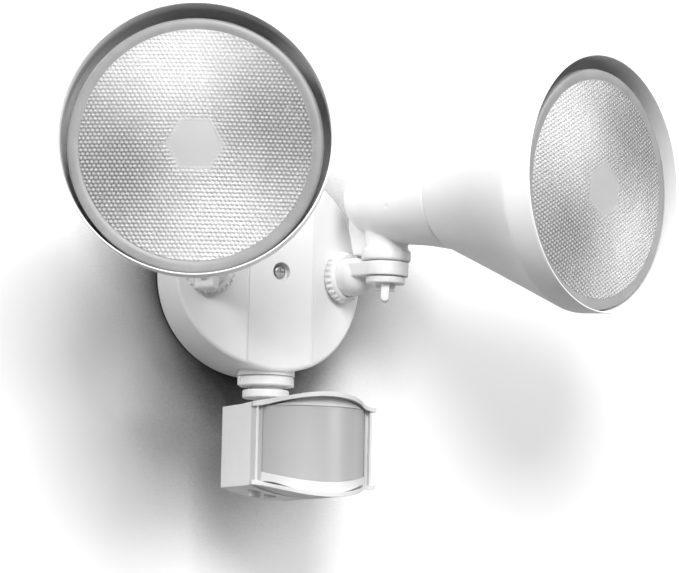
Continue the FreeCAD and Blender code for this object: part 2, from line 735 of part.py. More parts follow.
def holder_solid(name):
    """The lampholder in the pivot frame: the head's axis runs along Z at the height head_lift."""
    slope = "(holder_front_radius - holder_mid_radius) / (holder_front_z - holder_mid_z)"
    beside_dimple = "holder_mid_radius + (dimple_z - holder_mid_z) * " + slope
    lift = FreeCAD.Vector(0, value("head_lift"), 0)
    outer = turned(name + "_outer", holder_profile("0"))
    outer.Placement.Base = lift
    ring = toothed_ring(name + "_ring")
    ring.Placement = FreeCAD.Placement(FreeCAD.Vector(0, value("eye_high + slip_gap"), 0), turn_to("Y"))
    boss_high = "head_lift - holder_dome_radius - ring_high - eye_high + 4"
    boss = rod(name + "_boss", "boss_radius", boss_high, "Y",
               ("0", "eye_high + slip_gap + ring_high - 0.5", "0"))
    fin = prism(name + "_fin", "X", [("gusset_foot", "gusset_back"), ("gusset_foot", "-boss_radius + 2"),
                                     ("head_lift - 4", "-boss_radius + 2"),
                                     ("head_lift - 4", "holder_back + 1"),
                                     ("gusset_mid + 6", "gusset_mid_back - 0.5"),
                                     ("gusset_mid", "gusset_mid_back")],
                "-gusset_thick / 2", "gusset_thick / 2")
    inner = turned(name + "_inner", holder_profile("holder_wall"))
    inner.Placement.Base = lift
    mouth = rod(name + "_mouth", "neck_radius - holder_wall", "collar_long + 1.5", "Z",
                ("0", "head_lift", "neck_z - collar_long - 0.5"))
    tap = rod(name + "_tap", "wing_screw_radius + thread_gap", "wing_screw_into_boss + 1.5", "Y",
              ("0", "eye_high + slip_gap - 1", "0"))
    surface = "sqrt((%s) ^ 2 - dimple_drop ^ 2)" % beside_dimple
    dimple = rod(name + "_dimple", "dimple_radius", "4 + dimple_deep", "X",
                 ("-%s - 4" % surface, "head_lift - dimple_drop", "dimple_z"))
    shell = cut(name + "_shell", fuse(name + "_solid", [outer, boss, ring, fin]), [inner, mouth])
    return cut(name, shell, [tap, dimple])


def shade_profile():
    """The shade about the head's axis: a collar inside the lampholder, a cone and a straight skirt."""
    collar = "(neck_radius - holder_wall - seat_gap)"
    return [(collar, "neck_z - collar_long"), (collar, "neck_z + 0.05"),
            ("neck_radius + 0.2", "neck_z + 0.05"),
            ("skirt_radius", "skirt_z"), ("lip_radius", "lip_z - lip_bead"),
            ("lip_radius - 0.5", "lip_z"), ("lip_radius - shade_wall", "lip_z"),
            ("skirt_radius - shade_wall", "skirt_z + 0.4"),
            ("neck_radius - shade_wall", "neck_z + 1.6"), (collar + " - shade_wall", "neck_z + 1.2"),
            (collar + " - shade_wall", "neck_z - collar_long")]


def reflector_profile():
    """The lamp's bowl, from the neck to the rim, with its inner face one glass thickness in."""
    seat = "(lamp_rim_z - rim_high)"
    return [("lamp_neck_radius - 3", "base_top"), ("lamp_neck_radius", "lamp_neck_z"),
            ("lamp_throat_radius", "lamp_throat_z"), ("lamp_belly_radius", "lamp_belly_z"),
            ("rim_radius - 1.4", seat), ("rim_radius - 1.4 - lamp_glass", seat),
            ("lamp_belly_radius - lamp_glass", "lamp_belly_z"),
            ("lamp_throat_radius - lamp_glass", "lamp_throat_z"),
            ("lamp_neck_radius - lamp_glass", "lamp_neck_z + 0.6"),
            ("lamp_neck_radius - 3 - lamp_glass", "base_top")]


def lens_profile():
    """The lamp's front glass: a shallow dome with a thick rolled rim."""
    low = "(lamp_rim_z - rim_high + 0.1)"
    return [("rim_radius - 3.4", low), ("rim_radius - 0.6", low), ("rim_radius", low + " + 1"),
            ("rim_radius", "lamp_rim_z - 1.4"), ("rim_radius - 1.2", "lamp_rim_z"),
            ("lens_radius", "lamp_rim_z"),
            ("0", "lamp_rim_z + lens_dome", cap_radius("lens_radius", "lens_dome"), 1),
            ("0", "lamp_rim_z + lens_dome - lens_glass"),
            ("rim_radius - 3.4", "lamp_rim_z - lens_glass", cap_radius("rim_radius - 3.4", "lens_dome"), -1)]


def base_profile():
    """The lamp's screw shell, with rounded threads, and the skirt that holds the glass."""
    path = [("0", "3.2"), ("base_radius - 2", "3.2"), ("base_radius - 0.9", "4")]
    for turn in range(5):
        start = 4.6 + turn * 3.6
        path += [("base_radius", "%.2f" % (start + 0.9)), ("base_radius - 0.9", "%.2f" % (start + 2.7))]
    return path + [("base_radius - 0.9", "base_top - 2.6"), ("lamp_neck_radius - 3.2", "base_top - 0.1"),
                   ("0", "base_top - 0.1")]


def make_lamp(word, frame):
    ready(word + "_lamp_reflector", turned(word + "_lamp_reflector", reflector_profile()), frame)
    ready(word + "_lamp_lens", turned(word + "_lamp_lens", lens_profile()), frame)
    ready(word + "_lamp_base", turned(word + "_lamp_base", base_profile()), frame)
    tip = turned(word + "_lamp_tip", [("0", "0"), ("4", "0.6"), ("4.6", "1.8"), ("9", "2.2"), ("10", "3.1"),
                                      ("0", "3.1")])
    ready(word + "_lamp_tip", tip, frame)
    glass = turned(word + "_capsule", [("0", "capsule_low"), ("capsule_radius", "capsule_low + 2"),
                                       ("capsule_radius", "capsule_high - 6"),
                                       ("0", "capsule_high", cap_radius("capsule_radius", "6"), 1)])
    stays = [rod(word + "_stay", "0.8", "capsule_low - base_top + 3", "Z", (x, "0", "base_top"))
             for x in ("-4", "4")]
    ready(word + "_lamp_burner", fuse(word + "_lamp_burner", [glass] + stays), frame)


def make_socket(word, frame):
    bore = "(base_radius + slip_gap + socket_sleeve + seat_gap)"
    rim = "(holder_mid_radius - holder_wall - 0.6)"
    flange = "(socket_front - socket_flange_high)"
    body = turned(word + "_socket_body", [("3.2", "socket_back"), ("socket_radius - 4", "socket_back"),
                                          ("socket_radius - 2", "socket_back + 5"),
                                          ("socket_radius", "socket_back + 8"), ("socket_radius", flange),
                                          (rim, flange), (rim, "socket_front"), (bore, "socket_front"),
                                          (bore, "-1.6"), ("3.2", "-1.6")])
    ready(word + "_socket_body", body, frame)
    sleeve = turned(word + "_socket_sleeve", [("base_radius + slip_gap", "-1.4"),
                                              ("base_radius + slip_gap + socket_sleeve", "-1.4"),
                                              ("base_radius + slip_gap + socket_sleeve", "socket_front - 1"),
                                              ("base_radius + slip_gap", "socket_front - 1")])
    ready(word + "_socket_sleeve", sleeve, frame)
    contact = turned(word + "_socket_contact", [("0", "socket_back - 1"), ("2.8", "socket_back - 1"),
                                                ("2.8", "-1.5"), ("6", "-1.5"), ("6", "-1"), ("0", "-0.1")])
    ready(word + "_socket_contact", contact, frame)
    seat = "socket_front + seat_gap"
    seal = turned(word + "_lamp_seal", [("lamp_neck_radius + seat_gap", seat + " + 4"),
                                        ("lamp_neck_radius - 1.5", seat), (rim, seat), (rim, seat + " + 4")])
    ready(word + "_lamp_seal", seal, frame)


def make_head(side, word, droop):
    pivot = pivot_frame(side, droop)
    head = shifted(pivot, y=value("head_lift"))
    ready(word + "_lampholder", holder_solid(word + "_lampholder"), pivot)
    ready(word + "_shade", turned(word + "_shade", shade_profile()), head)
    hinge = shifted(head, z=value("lamp_pivot_z"), pitch=-value("lamp_droop"))
    lamp = shifted(hinge, z=value("lamp_shift - lamp_pivot_z"))
    make_lamp(word, lamp)
    make_socket(word, lamp)


# ---- motion sensor ----

stem_frame = FreeCAD.Placement(FreeCAD.Vector(0, -value("sensor_stem_y"), 0), FreeCAD.Rotation())


def make_sensor_stem():
    low = "-(pad_low + seat_gap + sensor_nut_high)"
    high, bore = "-pad_low - seat_gap", "sensor_stem_radius + thread_gap"
    ring = turned("sensor_nut_ring", [(bore, low), ("sensor_nut_radius - 0.7", low),
                                      ("sensor_nut_radius", low + " + 0.7"),
                                      ("sensor_nut_radius", high + " - 0.7"),
                                      ("sensor_nut_radius - 0.7", high), (bore, high)])
    lugs = [block("sensor_nut_lug", (start, "-1.2", low + " + 0.4"), (end, "1.2", high + " - 0.4"))
            for start, end in (("sensor_nut_radius - 1", "sensor_nut_radius + sensor_nut_lug"),
                               ("-sensor_nut_radius - sensor_nut_lug", "-sensor_nut_radius + 1"))]
    ready("sensor_lock_nut", fuse("sensor_lock_nut", [ring] + lugs), stem_frame)
    inner = FreeCAD.Placement(FreeCAD.Vector(0, -value("sensor_stem_y"), value("seat_gap - pad_high")),
                              FreeCAD.Rotation())
    ready("sensor_back_nut", back_nut("sensor_back_nut", "sensor_stem_radius + thread_gap",
                                      "back_nut_radius - 0.6"), inner)
    flange_low = "-flange_top - flange_thick"
    post = turned("sensor_post", [("0", "-sensor_neck_low"), ("sensor_neck_radius", "-sensor_neck_low"),
                                  ("sensor_neck_radius", flange_low), ("flange_radius - 0.5", flange_low),
                                  ("flange_radius", flange_low + " + 0.5"),
                                  ("flange_radius", "-flange_top - 0.5"),
                                  ("flange_radius - 0.5", "-flange_top"),
                                  ("sensor_stem_radius", "-flange_top"),
                                  ("sensor_stem_radius", "-sensor_stem_top"), ("0", "-sensor_stem_top")])
    tongue = block("sensor_tongue", ("-knuckle_half", "-knuckle_radius + 2", "-tilt_z"),
                   ("knuckle_half", "knuckle_radius - 2", "-sensor_neck_low + 1"))
    barrel = rod("sensor_knuckle", "knuckle_radius", "2 * knuckle_half", "X",
                 ("-knuckle_half", "0", "-tilt_z"))
    tools = [rod("sensor_tilt_hole", "tilt_screw_radius + thread_gap", "40", "X", ("-20", "0", "-tilt_z")),
             rod("sensor_wire_way", "3.0", "flange_top - sensor_stem_top + flange_thick + 3", "Z",
                 ("0", "0", "-flange_top - flange_thick - 2")),
             rod("sensor_wire_exit", "2.6", "12", "-Y", ("0", "0", "-flange_top - flange_thick - 2.4"))]
    solid = fuse("sensor_stem_solid", [post, tongue, barrel])
    ready("sensor_stem", cut("sensor_stem", solid, tools), stem_frame)


def bow_steps(half, base, rise, side=""):
    """Steps along a bow that is level at both ends: over the top, or underneath where side is "-"."""
    out, back, sign = (side, "" if side else "-", "-" if side else "+")
    reach = cap_radius(half, rise)
    shoulder = "(%s) %s lip_flare * (%s)" % (base, sign, rise)
    across = "(1 - lip_flare) * (%s)" % half
    flare, crown = "lip_flare * " + reach, "(1 - lip_flare) * " + reach
    return [(out + across, shoulder, flare, -1), (back + across, shoulder, crown, 1),
            (back + "(%s)" % half, base, flare, -1)]


sensor_span = ("-sensor_bottom - 25", "-sensor_top + 25")


def case_outline(inset, half="sensor_half", arched=False):
    """The sensor's front outline, bowed at top and bottom; arched gives the plain arch under the housing."""
    wide = "(%s - (%s))" % (half, inset)
    top, bottom = "-(sensor_top + %s)" % inset, "-(sensor_bottom - (%s))" % inset
    arch = cap_radius(wide, "sensor_arch")
    path = [(wide, top)] + bow_steps(wide, top, "sensor_arch") + [("-" + wide, bottom)]
    return path + ([(wide, bottom, arch, 1)] if arched else bow_steps(wide, bottom, "sensor_arch", "-"))


def case_block(name, inset, back, front, half="sensor_half", arched=False):
    """A block with the sensor's outline, from back to front along -Y."""
    return prism(name, "Y", case_outline(inset, half, arched), "-(%s)" % front, "-(%s)" % back)


def fascia_block(name, depth):
    """A tall block up to the bezel's bowed front panel, lying depth behind its face."""
    side_y, front_y = "(fascia_side_y - (%s))" % depth, "(sensor_front_y - visor_overhang - (%s))" % depth
    half = "(fascia_half - (%s))" % depth
    radius = cap_radius(half, "%s - %s" % (front_y, side_y))
    return prism(name, "Z", [("-sensor_half", "-sensor_stem_y"), ("-sensor_half", "-" + side_y),
                             ("-" + half, "-" + side_y), (half, "-" + side_y, radius, 1),
                             ("sensor_half", "-" + side_y), ("sensor_half", "-sensor_stem_y")],
                 *sensor_span)


def window_block(name, inset):
    """A bar through the bezel's window: a level top and a bottom that bows down."""
    half = "(window_half - %s)" % inset
    top, bottom = "(window_top_rise - window_top - %s)" % inset, "(%s - window_bottom)" % inset
    return prism(name, "Y", [(half, top), ("-" + half, top), ("-" + half, bottom),
                             (half, bottom, cap_radius(half, "window_bow"), 1)],
                 "-sensor_front_y - 10", "-sensor_split_y - 2")


case_screw_places = [(x, z) for x in ("-case_screw_x", "case_screw_x")
                     for z in ("-case_screw_top", "-case_screw_bottom")]


def make_housing():
    outer = case_block("housing_outer", "0", "sensor_back_y", "sensor_split_y", arched=True)
    inner = case_block("housing_inner", "sensor_wall", "sensor_back_y + sensor_wall", "sensor_split_y + 5",
                       arched=True)
    shell = cut("housing_shell", outer, [inner])
    ears = []
    for side, low, high in (("right", "knuckle_half + slip_gap", "knuckle_half + slip_gap + ear_thick"),
                            ("left", "-knuckle_half - slip_gap - ear_thick", "-knuckle_half - slip_gap")):
        ears.append(rod("ear_round_" + side, "knuckle_radius", "ear_thick", "X",
                        (low, "-sensor_stem_y", "-tilt_z")))
        ears.append(block("ear_arm_" + side, (low, "-sensor_back_y - 1", "-tilt_z - knuckle_radius"),
                          (high, "-sensor_stem_y", "-tilt_z + knuckle_radius")))
    solid = fuse("housing_solid", [shell] + ears)
    tools = [rod("housing_tilt_hole", "tilt_screw_radius + thread_gap", "60", "X",
                 ("-30", "-sensor_stem_y", "-tilt_z")),
             rod("housing_wire_hole", "3.0", "8", "Y", ("0", "-sensor_back_y - 4", "-tilt_z - 14"))]
    for knob in ("time_knob_x", "range_knob_x"):
        tools.append(rod("housing_knob_hole", "knob_radius + slip_gap", "sensor_arch + 8.4", "Z",
                         (knob, "-knob_y", "-sensor_bottom - sensor_arch - 2.4")))
    for x, z in case_screw_places:
        tools.append(rod("housing_screw_hole", "case_screw_hole", "10", "Y", (x, "-sensor_back_y - 5", z)))
    ready("sensor_housing", cut("sensor_housing", solid, tools))


def make_lips():
    """The two bowed lips over and under the window, whose tips flare out past the bezel's sides."""
    band = case_block("lip_band", "0", "sensor_split_y + 0.1", "sensor_front_y + 5", half="lip_half")
    between = case_block("lip_between", "visor_thick", "sensor_split_y - 4", "sensor_front_y + 8",
                         half="lip_half + 2 * visor_thick")
    plan = prism("lip_plan", "Z", [("sensor_half", "-sensor_split_y + 1"),
                                   ("-sensor_half", "-sensor_split_y + 1"), ("-lip_half", "-lip_side_y")]
                 + bow_steps("lip_half", "-lip_side_y", "sensor_front_y - lip_side_y", "-"), *sensor_span)
    return common("lips", cut("lip_plates", band, [between]), plan)


def make_bezel():
    frame = case_block("bezel_bar", "0", "sensor_split_y + 0.1", "lip_side_y - 0.5")
    front = case_block("bezel_front", "visor_thick - 0.3", "sensor_split_y + 0.1", "sensor_front_y")
    panel = common("bezel_panel", front, fascia_block("panel_plan", "0"))
    niche_bar = case_block("niche_bar", "bezel_wall", "sensor_split_y - 4", "sensor_front_y + 8")
    niche = cut("bezel_niche", niche_bar, [fascia_block("niche_plan", "0")])
    sides = cut("bezel_sides", frame, [niche])
    hollow_bar = case_block("hollow_bar", "visor_thick + 0.6", "sensor_split_y - 8", "sensor_front_y + 8")
    hollow = common("bezel_hollow", hollow_bar, fascia_block("hollow_plan", "fascia_thick"))
    solid = fuse("bezel_solid", [sides, panel, make_lips()])
    ready("sensor_bezel", cut("sensor_bezel", solid, [hollow, window_block("bezel_window", "0")]))


def make_sensor_lens():
    """A thin bowed film behind the front panel, with a pane that fills the window."""
    film = common("film_outer", fascia_block("film_plan", "fascia_thick + seat_gap"),
                  case_block("film_band", "visor_thick + 1.2", "sensor_split_y + 2", "sensor_front_y"))
    pane = common("pane_outer", fascia_block("pane_plan", "pane_sunk"), window_block("pane_bar", "seat_gap"))
    behind = fascia_block("film_inner", "fascia_thick + seat_gap + lens_film")
    ready("sensor_lens", cut("sensor_lens", fuse("film_and_pane", [film, pane]), [behind]))


def on_board(x, drop):
    """A frame on the board's back plane, pointing out through the window."""
    return pointing(FreeCAD.Vector(value(x), -value("board_y"), -value(drop)), 0, 0)


def make_electronics():
    ready("sensor_board", block("sensor_board", ("-board_half", "-board_y - board_thick", "-board_bottom"),
                                ("board_half", "-board_y", "-board_top")))
    face, base = "board_thick + seat_gap", "board_bottom - 2.5"
    can = turned("pyro_can", [("0", face), ("can_flange", face), ("can_flange", face + " + 0.7"),
                              ("can_radius", face + " + 0.7"), ("can_radius", "board_thick + can_high"),
                              ("0", "board_thick + can_high")])
    ready("sensor_element", can, on_board("0", "(board_top + board_bottom) / 2 - 3.5"))
    ready("sensor_relay", block("sensor_relay", ("relay_x", "-board_y + seat_gap", "-(%s)" % base),
                                ("relay_x + relay_wide", "-board_y + relay_deep",
                                 "relay_high - (%s)" % base)))
    cell = turned("sensor_capacitor", [("0", "seat_gap"), ("capacitor_radius", "seat_gap"),
                                       ("capacitor_radius", "capacitor_long"), ("0", "capacitor_long")])
    seat = on_board("-capacitor_x", "board_bottom - capacitor_rise").Base
    ready("sensor_capacitor", cell, FreeCAD.Placement(seat, turn_to("Y")))
    eye = turned("sensor_photocell", [("0", face), ("photocell_radius", face),
                                      ("photocell_radius", face + " + 2.3"), ("0", face + " + 2.3")])
    ready("sensor_photocell", eye, on_board("photocell_x", "board_bottom - 6"))


def knob(name, x):
    """A slotted adjusting knob with a stem up into the housing."""
    low = "-sensor_bottom - sensor_arch * 0.9 - knob_proud"
    neck, top = low + " + knob_head", low + " + knob_head + knob_stem"
    body = turned(name + "_blank", [("0", low), ("knob_radius - 0.5", low), ("knob_radius", low + " + 0.5"),
                                    ("knob_radius", neck), ("knob_stem_radius", neck),
                                    ("knob_stem_radius", top), ("0", top)])
    slot = block(name + "_slot", ("-knob_radius - 1", "-0.5", low + " - 1"),
                 ("knob_radius + 1", "0.5", low + " + 1"))
    ready(name, cut(name, body, [slot]),
          FreeCAD.Placement(FreeCAD.Vector(value(x), -value("knob_y"), 0), FreeCAD.Rotation()))


def make_sensor_fixings():
    reach = "(knuckle_half + slip_gap + ear_thick + seat_gap)"
    shank = rod("tilt_screw_shank", "tilt_screw_radius", "2 * " + reach + " + 5", "X",
                ("-" + reach + " - 5", "-sensor_stem_y", "-tilt_z"))
    head = rod("tilt_screw_head", "5", "3", "X", (reach, "-sensor_stem_y", "-tilt_z"))
    ready("sensor_tilt_screw", fuse("sensor_tilt_screw", [shank, head]))
    nut = back_nut("sensor_tilt_nut", "tilt_screw_radius + thread_gap", "4.6")
    seat = FreeCAD.Vector(-value(reach), -value("sensor_stem_y"), -value("tilt_z"))
    ready("sensor_tilt_nut", nut, FreeCAD.Placement(seat, turn_to("-X")))
    knob("time_knob", "time_knob_x")
    knob("range_knob", "range_knob_x")
    screws = []
    for x, z in case_screw_places:
        shaft = rod("case_screw_shaft", "case_screw_radius", "case_screw_long + 0.5", "-Y",
                    (x, "-sensor_back_y + 0.5", z))
        cap = rod("case_screw_cap", "case_screw_head", "case_screw_head_high", "Y",
                  (x, "-sensor_back_y + 0.05", z))
        screws.append(fuse("case_screw", [shaft, cap]))
    pack = doc.addObject("Part::Compound", "sensor_case_screws")
    pack.Links = screws
    ready("sensor_case_screws", pack)


# ---- the whole light ----

def report_faults():
    faults = ["%s: %s" % (thing.Name, thing.State) for thing in doc.Objects
              if "Invalid" in thing.State or "Error" in thing.State]
    for name, thing in nodes.items():
        sound = not thing.Shape.isNull() and thing.Shape.isValid() and thing.Shape.Solids
        if not sound or thing.Shape.Volume <= 0:
            faults.append("%s: no sound shape" % name)
    return faults


def write_parts():
    os.makedirs("parts", exist_ok=True)
    for name, thing in nodes.items():
        thing.Shape.exportStep("parts/%s.step" % name)


make_canopy()
make_gasket()
make_strap()
make_fixings()
for side, word in ((1, "right"), (-1, "left")):
    make_arm(side, word, word + "_droop")
    make_head(side, word, word + "_droop")
make_sensor_stem()
make_housing()
make_bezel()
make_sensor_lens()
make_electronics()
make_sensor_fixings()
doc.recompute()
faults = report_faults()
if faults:
    raise RuntimeError("\n".join(faults))
write_parts()
for name, thing in nodes.items():
    print("%-22s %d solid(s) %9.1f mm3" % (name, len(thing.Shape.Solids), thing.Shape.Volume))
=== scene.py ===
import json
import math

import bpy
from mathutils import Matrix, Vector

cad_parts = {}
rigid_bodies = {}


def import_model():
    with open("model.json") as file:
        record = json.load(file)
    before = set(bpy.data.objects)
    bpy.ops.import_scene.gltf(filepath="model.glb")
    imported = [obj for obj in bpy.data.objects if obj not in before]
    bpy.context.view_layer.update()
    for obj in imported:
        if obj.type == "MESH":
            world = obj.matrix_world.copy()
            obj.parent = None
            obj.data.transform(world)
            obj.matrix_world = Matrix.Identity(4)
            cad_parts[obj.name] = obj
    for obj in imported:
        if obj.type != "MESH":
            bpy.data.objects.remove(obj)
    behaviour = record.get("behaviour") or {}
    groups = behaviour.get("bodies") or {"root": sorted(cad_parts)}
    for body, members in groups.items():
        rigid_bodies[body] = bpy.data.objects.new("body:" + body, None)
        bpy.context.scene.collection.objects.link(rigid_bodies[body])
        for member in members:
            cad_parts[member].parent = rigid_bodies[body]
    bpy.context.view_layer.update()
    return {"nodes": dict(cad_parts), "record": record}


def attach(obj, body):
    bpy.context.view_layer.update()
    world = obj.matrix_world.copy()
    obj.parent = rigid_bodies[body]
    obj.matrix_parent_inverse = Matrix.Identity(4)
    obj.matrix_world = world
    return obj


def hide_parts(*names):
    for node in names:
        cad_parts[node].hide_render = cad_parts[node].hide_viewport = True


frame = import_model()
nodes = frame["nodes"]
print("frame loaded:", len(nodes), "parts")

mm = 0.001
sides = ("right", "left")

# In the dictionaries, lengths are in millimetres and angles in degrees where no note says otherwise.
armPlace = {
    "holeX": 37.3, "facetY": -35.2333, "yaw": 25.0, "reach": 32.5,
    "droop": {"right": 1.5, "left": 0.0}, "headLift": 40.3,
    "lampHinge": 12.0, "lampDroop": 1.25, "lampBack": 6.4,
}


def facing(origin, yaw):
    # Z looks out from the wall, turned to +X by yaw, and Y is up
    turn = math.radians(yaw)
    out = Vector((math.sin(turn), -math.cos(turn), 0))
    up = Vector((0, 0, 1))
    return Matrix.Translation(origin) @ Matrix((up.cross(out), up, out)).transposed().to_4x4()


def moved(place, y=0.0, z=0.0, pitch=0.0):
    # millimetres along the place's own axes, then a pitch about its X
    return place @ Matrix.Translation((0, y * mm, z * mm)) @ Matrix.Rotation(math.radians(-pitch), 4, "X")


def armFrame(side):
    sign = 1 if side == "right" else -1
    return facing((sign * armPlace["holeX"] * mm, armPlace["facetY"] * mm, 0), sign * armPlace["yaw"])


def pivotFrame(side):
    return moved(armFrame(side), z=armPlace["reach"], pitch=-armPlace["droop"][side])


def headFrame(side):
    return moved(pivotFrame(side), y=armPlace["headLift"])


def lampFrame(side):
    hinge = moved(headFrame(side), z=armPlace["lampHinge"], pitch=-armPlace["lampDroop"])
    return moved(hinge, z=-armPlace["lampBack"])


# The pole is the radius in millimetres that a closed end shrinks to. The gaps that are merged are in metres.
meshing = {"pole": 1e-4, "ringGap": 2e-6, "copyGap": 1e-6, "toothGap": 1e-5}


def startClean():
    if bpy.context.object and bpy.context.object.mode != "OBJECT":
        bpy.ops.object.mode_set(mode="OBJECT")
    bpy.ops.object.select_all(action="DESELECT")


def pick(piece):
    startClean()
    piece.select_set(True)
    bpy.context.view_layer.objects.active = piece


def startEdit():
    bpy.ops.object.mode_set(mode="EDIT")
    bpy.ops.mesh.select_all(action="SELECT")


def closeSurface(gap):
    bpy.ops.mesh.select_all(action="SELECT")
    bpy.ops.mesh.remove_doubles(threshold=gap)
    bpy.ops.mesh.normals_make_consistent(inside=False)
    bpy.ops.object.mode_set(mode="OBJECT")


def applyPlace(piece):
    pick(piece)
    bpy.ops.object.transform_apply(location=True, rotation=True, scale=True)


def joinTo(piece, others):
    pick(piece)
    for other in others:
        other.select_set(True)
    bpy.ops.object.join()


def useModifier(piece, kind, **settings):
    pick(piece)
    modifier = piece.modifiers.new(kind.title(), kind)
    for key, value in settings.items():
        setattr(modifier, key, value)
    bpy.ops.object.modifier_apply(modifier=modifier.name)


def turnProfile(name, profile, steps):
    # a round piece, drawn out ring by ring; profile holds (radius, height) in millimetres
    radius, height = profile[0]
    startClean()
    bpy.ops.mesh.primitive_circle_add(vertices=steps, radius=(radius or 1.0) * mm)
    piece = bpy.context.object
    piece.name = name
    startEdit()
    bpy.ops.transform.translate(value=(0, 0, height * mm))
    if radius == 0:
        radius = meshing["pole"]
        bpy.ops.transform.resize(value=(radius, radius, 1), center_override=(0, 0, 0))
    for newRadius, newHeight in profile[1:]:
        rise = (newHeight - height) * mm
        growth = max(newRadius, meshing["pole"]) / radius
        bpy.ops.mesh.extrude_region_move(TRANSFORM_OT_translate={"value": (0, 0, rise)})
        bpy.ops.transform.resize(value=(growth, growth, 1), center_override=(0, 0, 0))
        radius = max(newRadius, meshing["pole"])
        height = newHeight
    closeSurface(meshing["ringGap"])
    return piece


def bowedLine(start, end, sag, count):
    # the points after start on the way to end, bowed by sag millimetres to the left of the way
    acrossWay = end[0] - start[0]
    alongWay = end[1] - start[1]
    length = math.hypot(acrossWay, alongWay)
    points = []
    for step in range(1, count + 1):
        share = step / count
        bow = 4 * sag * share * (1 - share)
        points.append((start[0] + acrossWay * share - alongWay / length * bow,
                       start[1] + alongWay * share + acrossWay / length * bow))
    return points


def domeLine(radius, rise, base, count):
    # points over a shallow dome, from its edge to its middle
    points = []
    for step in range(count + 1):
        share = 1 - step / count
        points.append((radius * share, base + rise * (1 - share ** 2)))
    return points


def around(radius, height, offsets):
    # profile points given by their offsets from one corner
    return [(radius + across, height + along) for across, along in offsets]


def softCopy(name, node, voxel, rounds):
    # a cast or moulded look: the part's own form with every edge run together a little
    pick(nodes[node])
    bpy.ops.object.duplicate()
    piece = bpy.context.object
    piece.name = name
    bpy.ops.object.parent_clear(type="CLEAR_KEEP_TRANSFORM")
    for key in list(piece.keys()):
        if key.startswith("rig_"):
            del piece[key]
    piece.data.materials.clear()
    startEdit()
    bpy.ops.mesh.remove_doubles(threshold=meshing["copyGap"])
    bpy.ops.object.mode_set(mode="OBJECT")
    useModifier(piece, "REMESH", mode="VOXEL", voxel_size=voxel * mm, adaptivity=0.0)
    useModifier(piece, "SMOOTH", factor=0.5, iterations=rounds)
    bpy.ops.object.shade_smooth()
    return piece


def finishPiece(piece, body, material, replaced, crease=None):
    # edges flatter than the crease angle are shaded as one surface
    applyPlace(piece)
    if crease:
        bpy.ops.object.shade_smooth_by_angle(angle=math.radians(crease))
    piece.data.materials.clear()
    piece.data.materials.append(material)
    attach(piece, body)
    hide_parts(*replaced)


def newGroup(name, amounts, results):
    group = bpy.data.node_groups.new(name, "ShaderNodeTree")
    group.interface.new_socket(name="Vector", in_out="INPUT", socket_type="NodeSocketVector")
    for label in amounts:
        group.interface.new_socket(name=label, in_out="INPUT", socket_type="NodeSocketFloat")
    for label in results:
        group.interface.new_socket(name=label, in_out="OUTPUT", socket_type="NodeSocketFloat")
    return group, group.nodes.new("NodeGroupInput").outputs, group.nodes.new("NodeGroupOutput").inputs


def addNode(tree, kind, sockets=None, **settings):
    # a socket is linked where it is given another node's output, and set where it is given a value
    node = tree.nodes.new(kind)
    for key, value in settings.items():
        setattr(node, key, value)
    for socket, source in (sockets or {}).items():
        if hasattr(source, "is_output"):
            tree.links.new(source, node.inputs[socket])
        else:
            node.inputs[socket].default_value = source
    return node


def mathNode(tree, operation, *values):
    return addNode(tree, "ShaderNodeMath", dict(enumerate(values)), operation=operation).outputs[0]


def fitRange(tree, value, span, result=(0.0, 1.0)):
    sockets = {"Value": value, "From Min": span[0], "From Max": span[1],
               "To Min": result[0], "To Max": result[1]}
    return addNode(tree, "ShaderNodeMapRange", sockets).outputs[0]


def addNoise(tree, vector, scale, detail, roughness=0.5):
    sockets = {"Vector": vector, "Scale": scale, "Detail": detail, "Roughness": roughness}
    return addNode(tree, "ShaderNodeTexNoise", sockets).outputs["Fac"]


def addBump(tree, height, look, **sockets):
    sockets.update({"Strength": look["bump"], "Distance": look["depth"] * mm, "Height": height})
    return addNode(tree, "ShaderNodeBump", sockets).outputs["Normal"]


def lengthOf(tree, vector):
    return addNode(tree, "ShaderNodeVectorMath", {0: vector}, operation="LENGTH").outputs["Value"]


def objectPlace(tree):
    return addNode(tree, "ShaderNodeTexCoord").outputs["Object"]


def asColour(tone):
    # a tone in a dictionary is one grey, or red, green and blue
    return (tone, tone, tone, 1) if isinstance(tone, float) else (*tone, 1)


def mixTones(tree, amount, first, second):
    # each of the two is a tone or another node's colour
    first, second = (tone if hasattr(tone, "is_output") else asColour(tone) for tone in (first, second))
    return addNode(tree, "ShaderNodeMix", {0: amount, 6: first, 7: second}, data_type="RGBA").outputs[2]


def toneRamp(tree, amount, look, span=(0.0, 1.0)):
    ramp = addNode(tree, "ShaderNodeValToRGB", {"Fac": amount})
    for element, position, tone in zip(ramp.color_ramp.elements, span, ("dark", "light")):
        element.position = position
        element.color = asColour(look[tone])
    return ramp.outputs["Color"]


sprayed = {
    "peelDetail": 3.0, "peelRough": 0.55, "cloudDetail": 4.0, "cloudRough": 0.6,
    "speckScale": 260.0, "speckSize": (0.05, 0.10), "speckClouds": (0.58, 0.70), "speckDepth": 0.5,
}


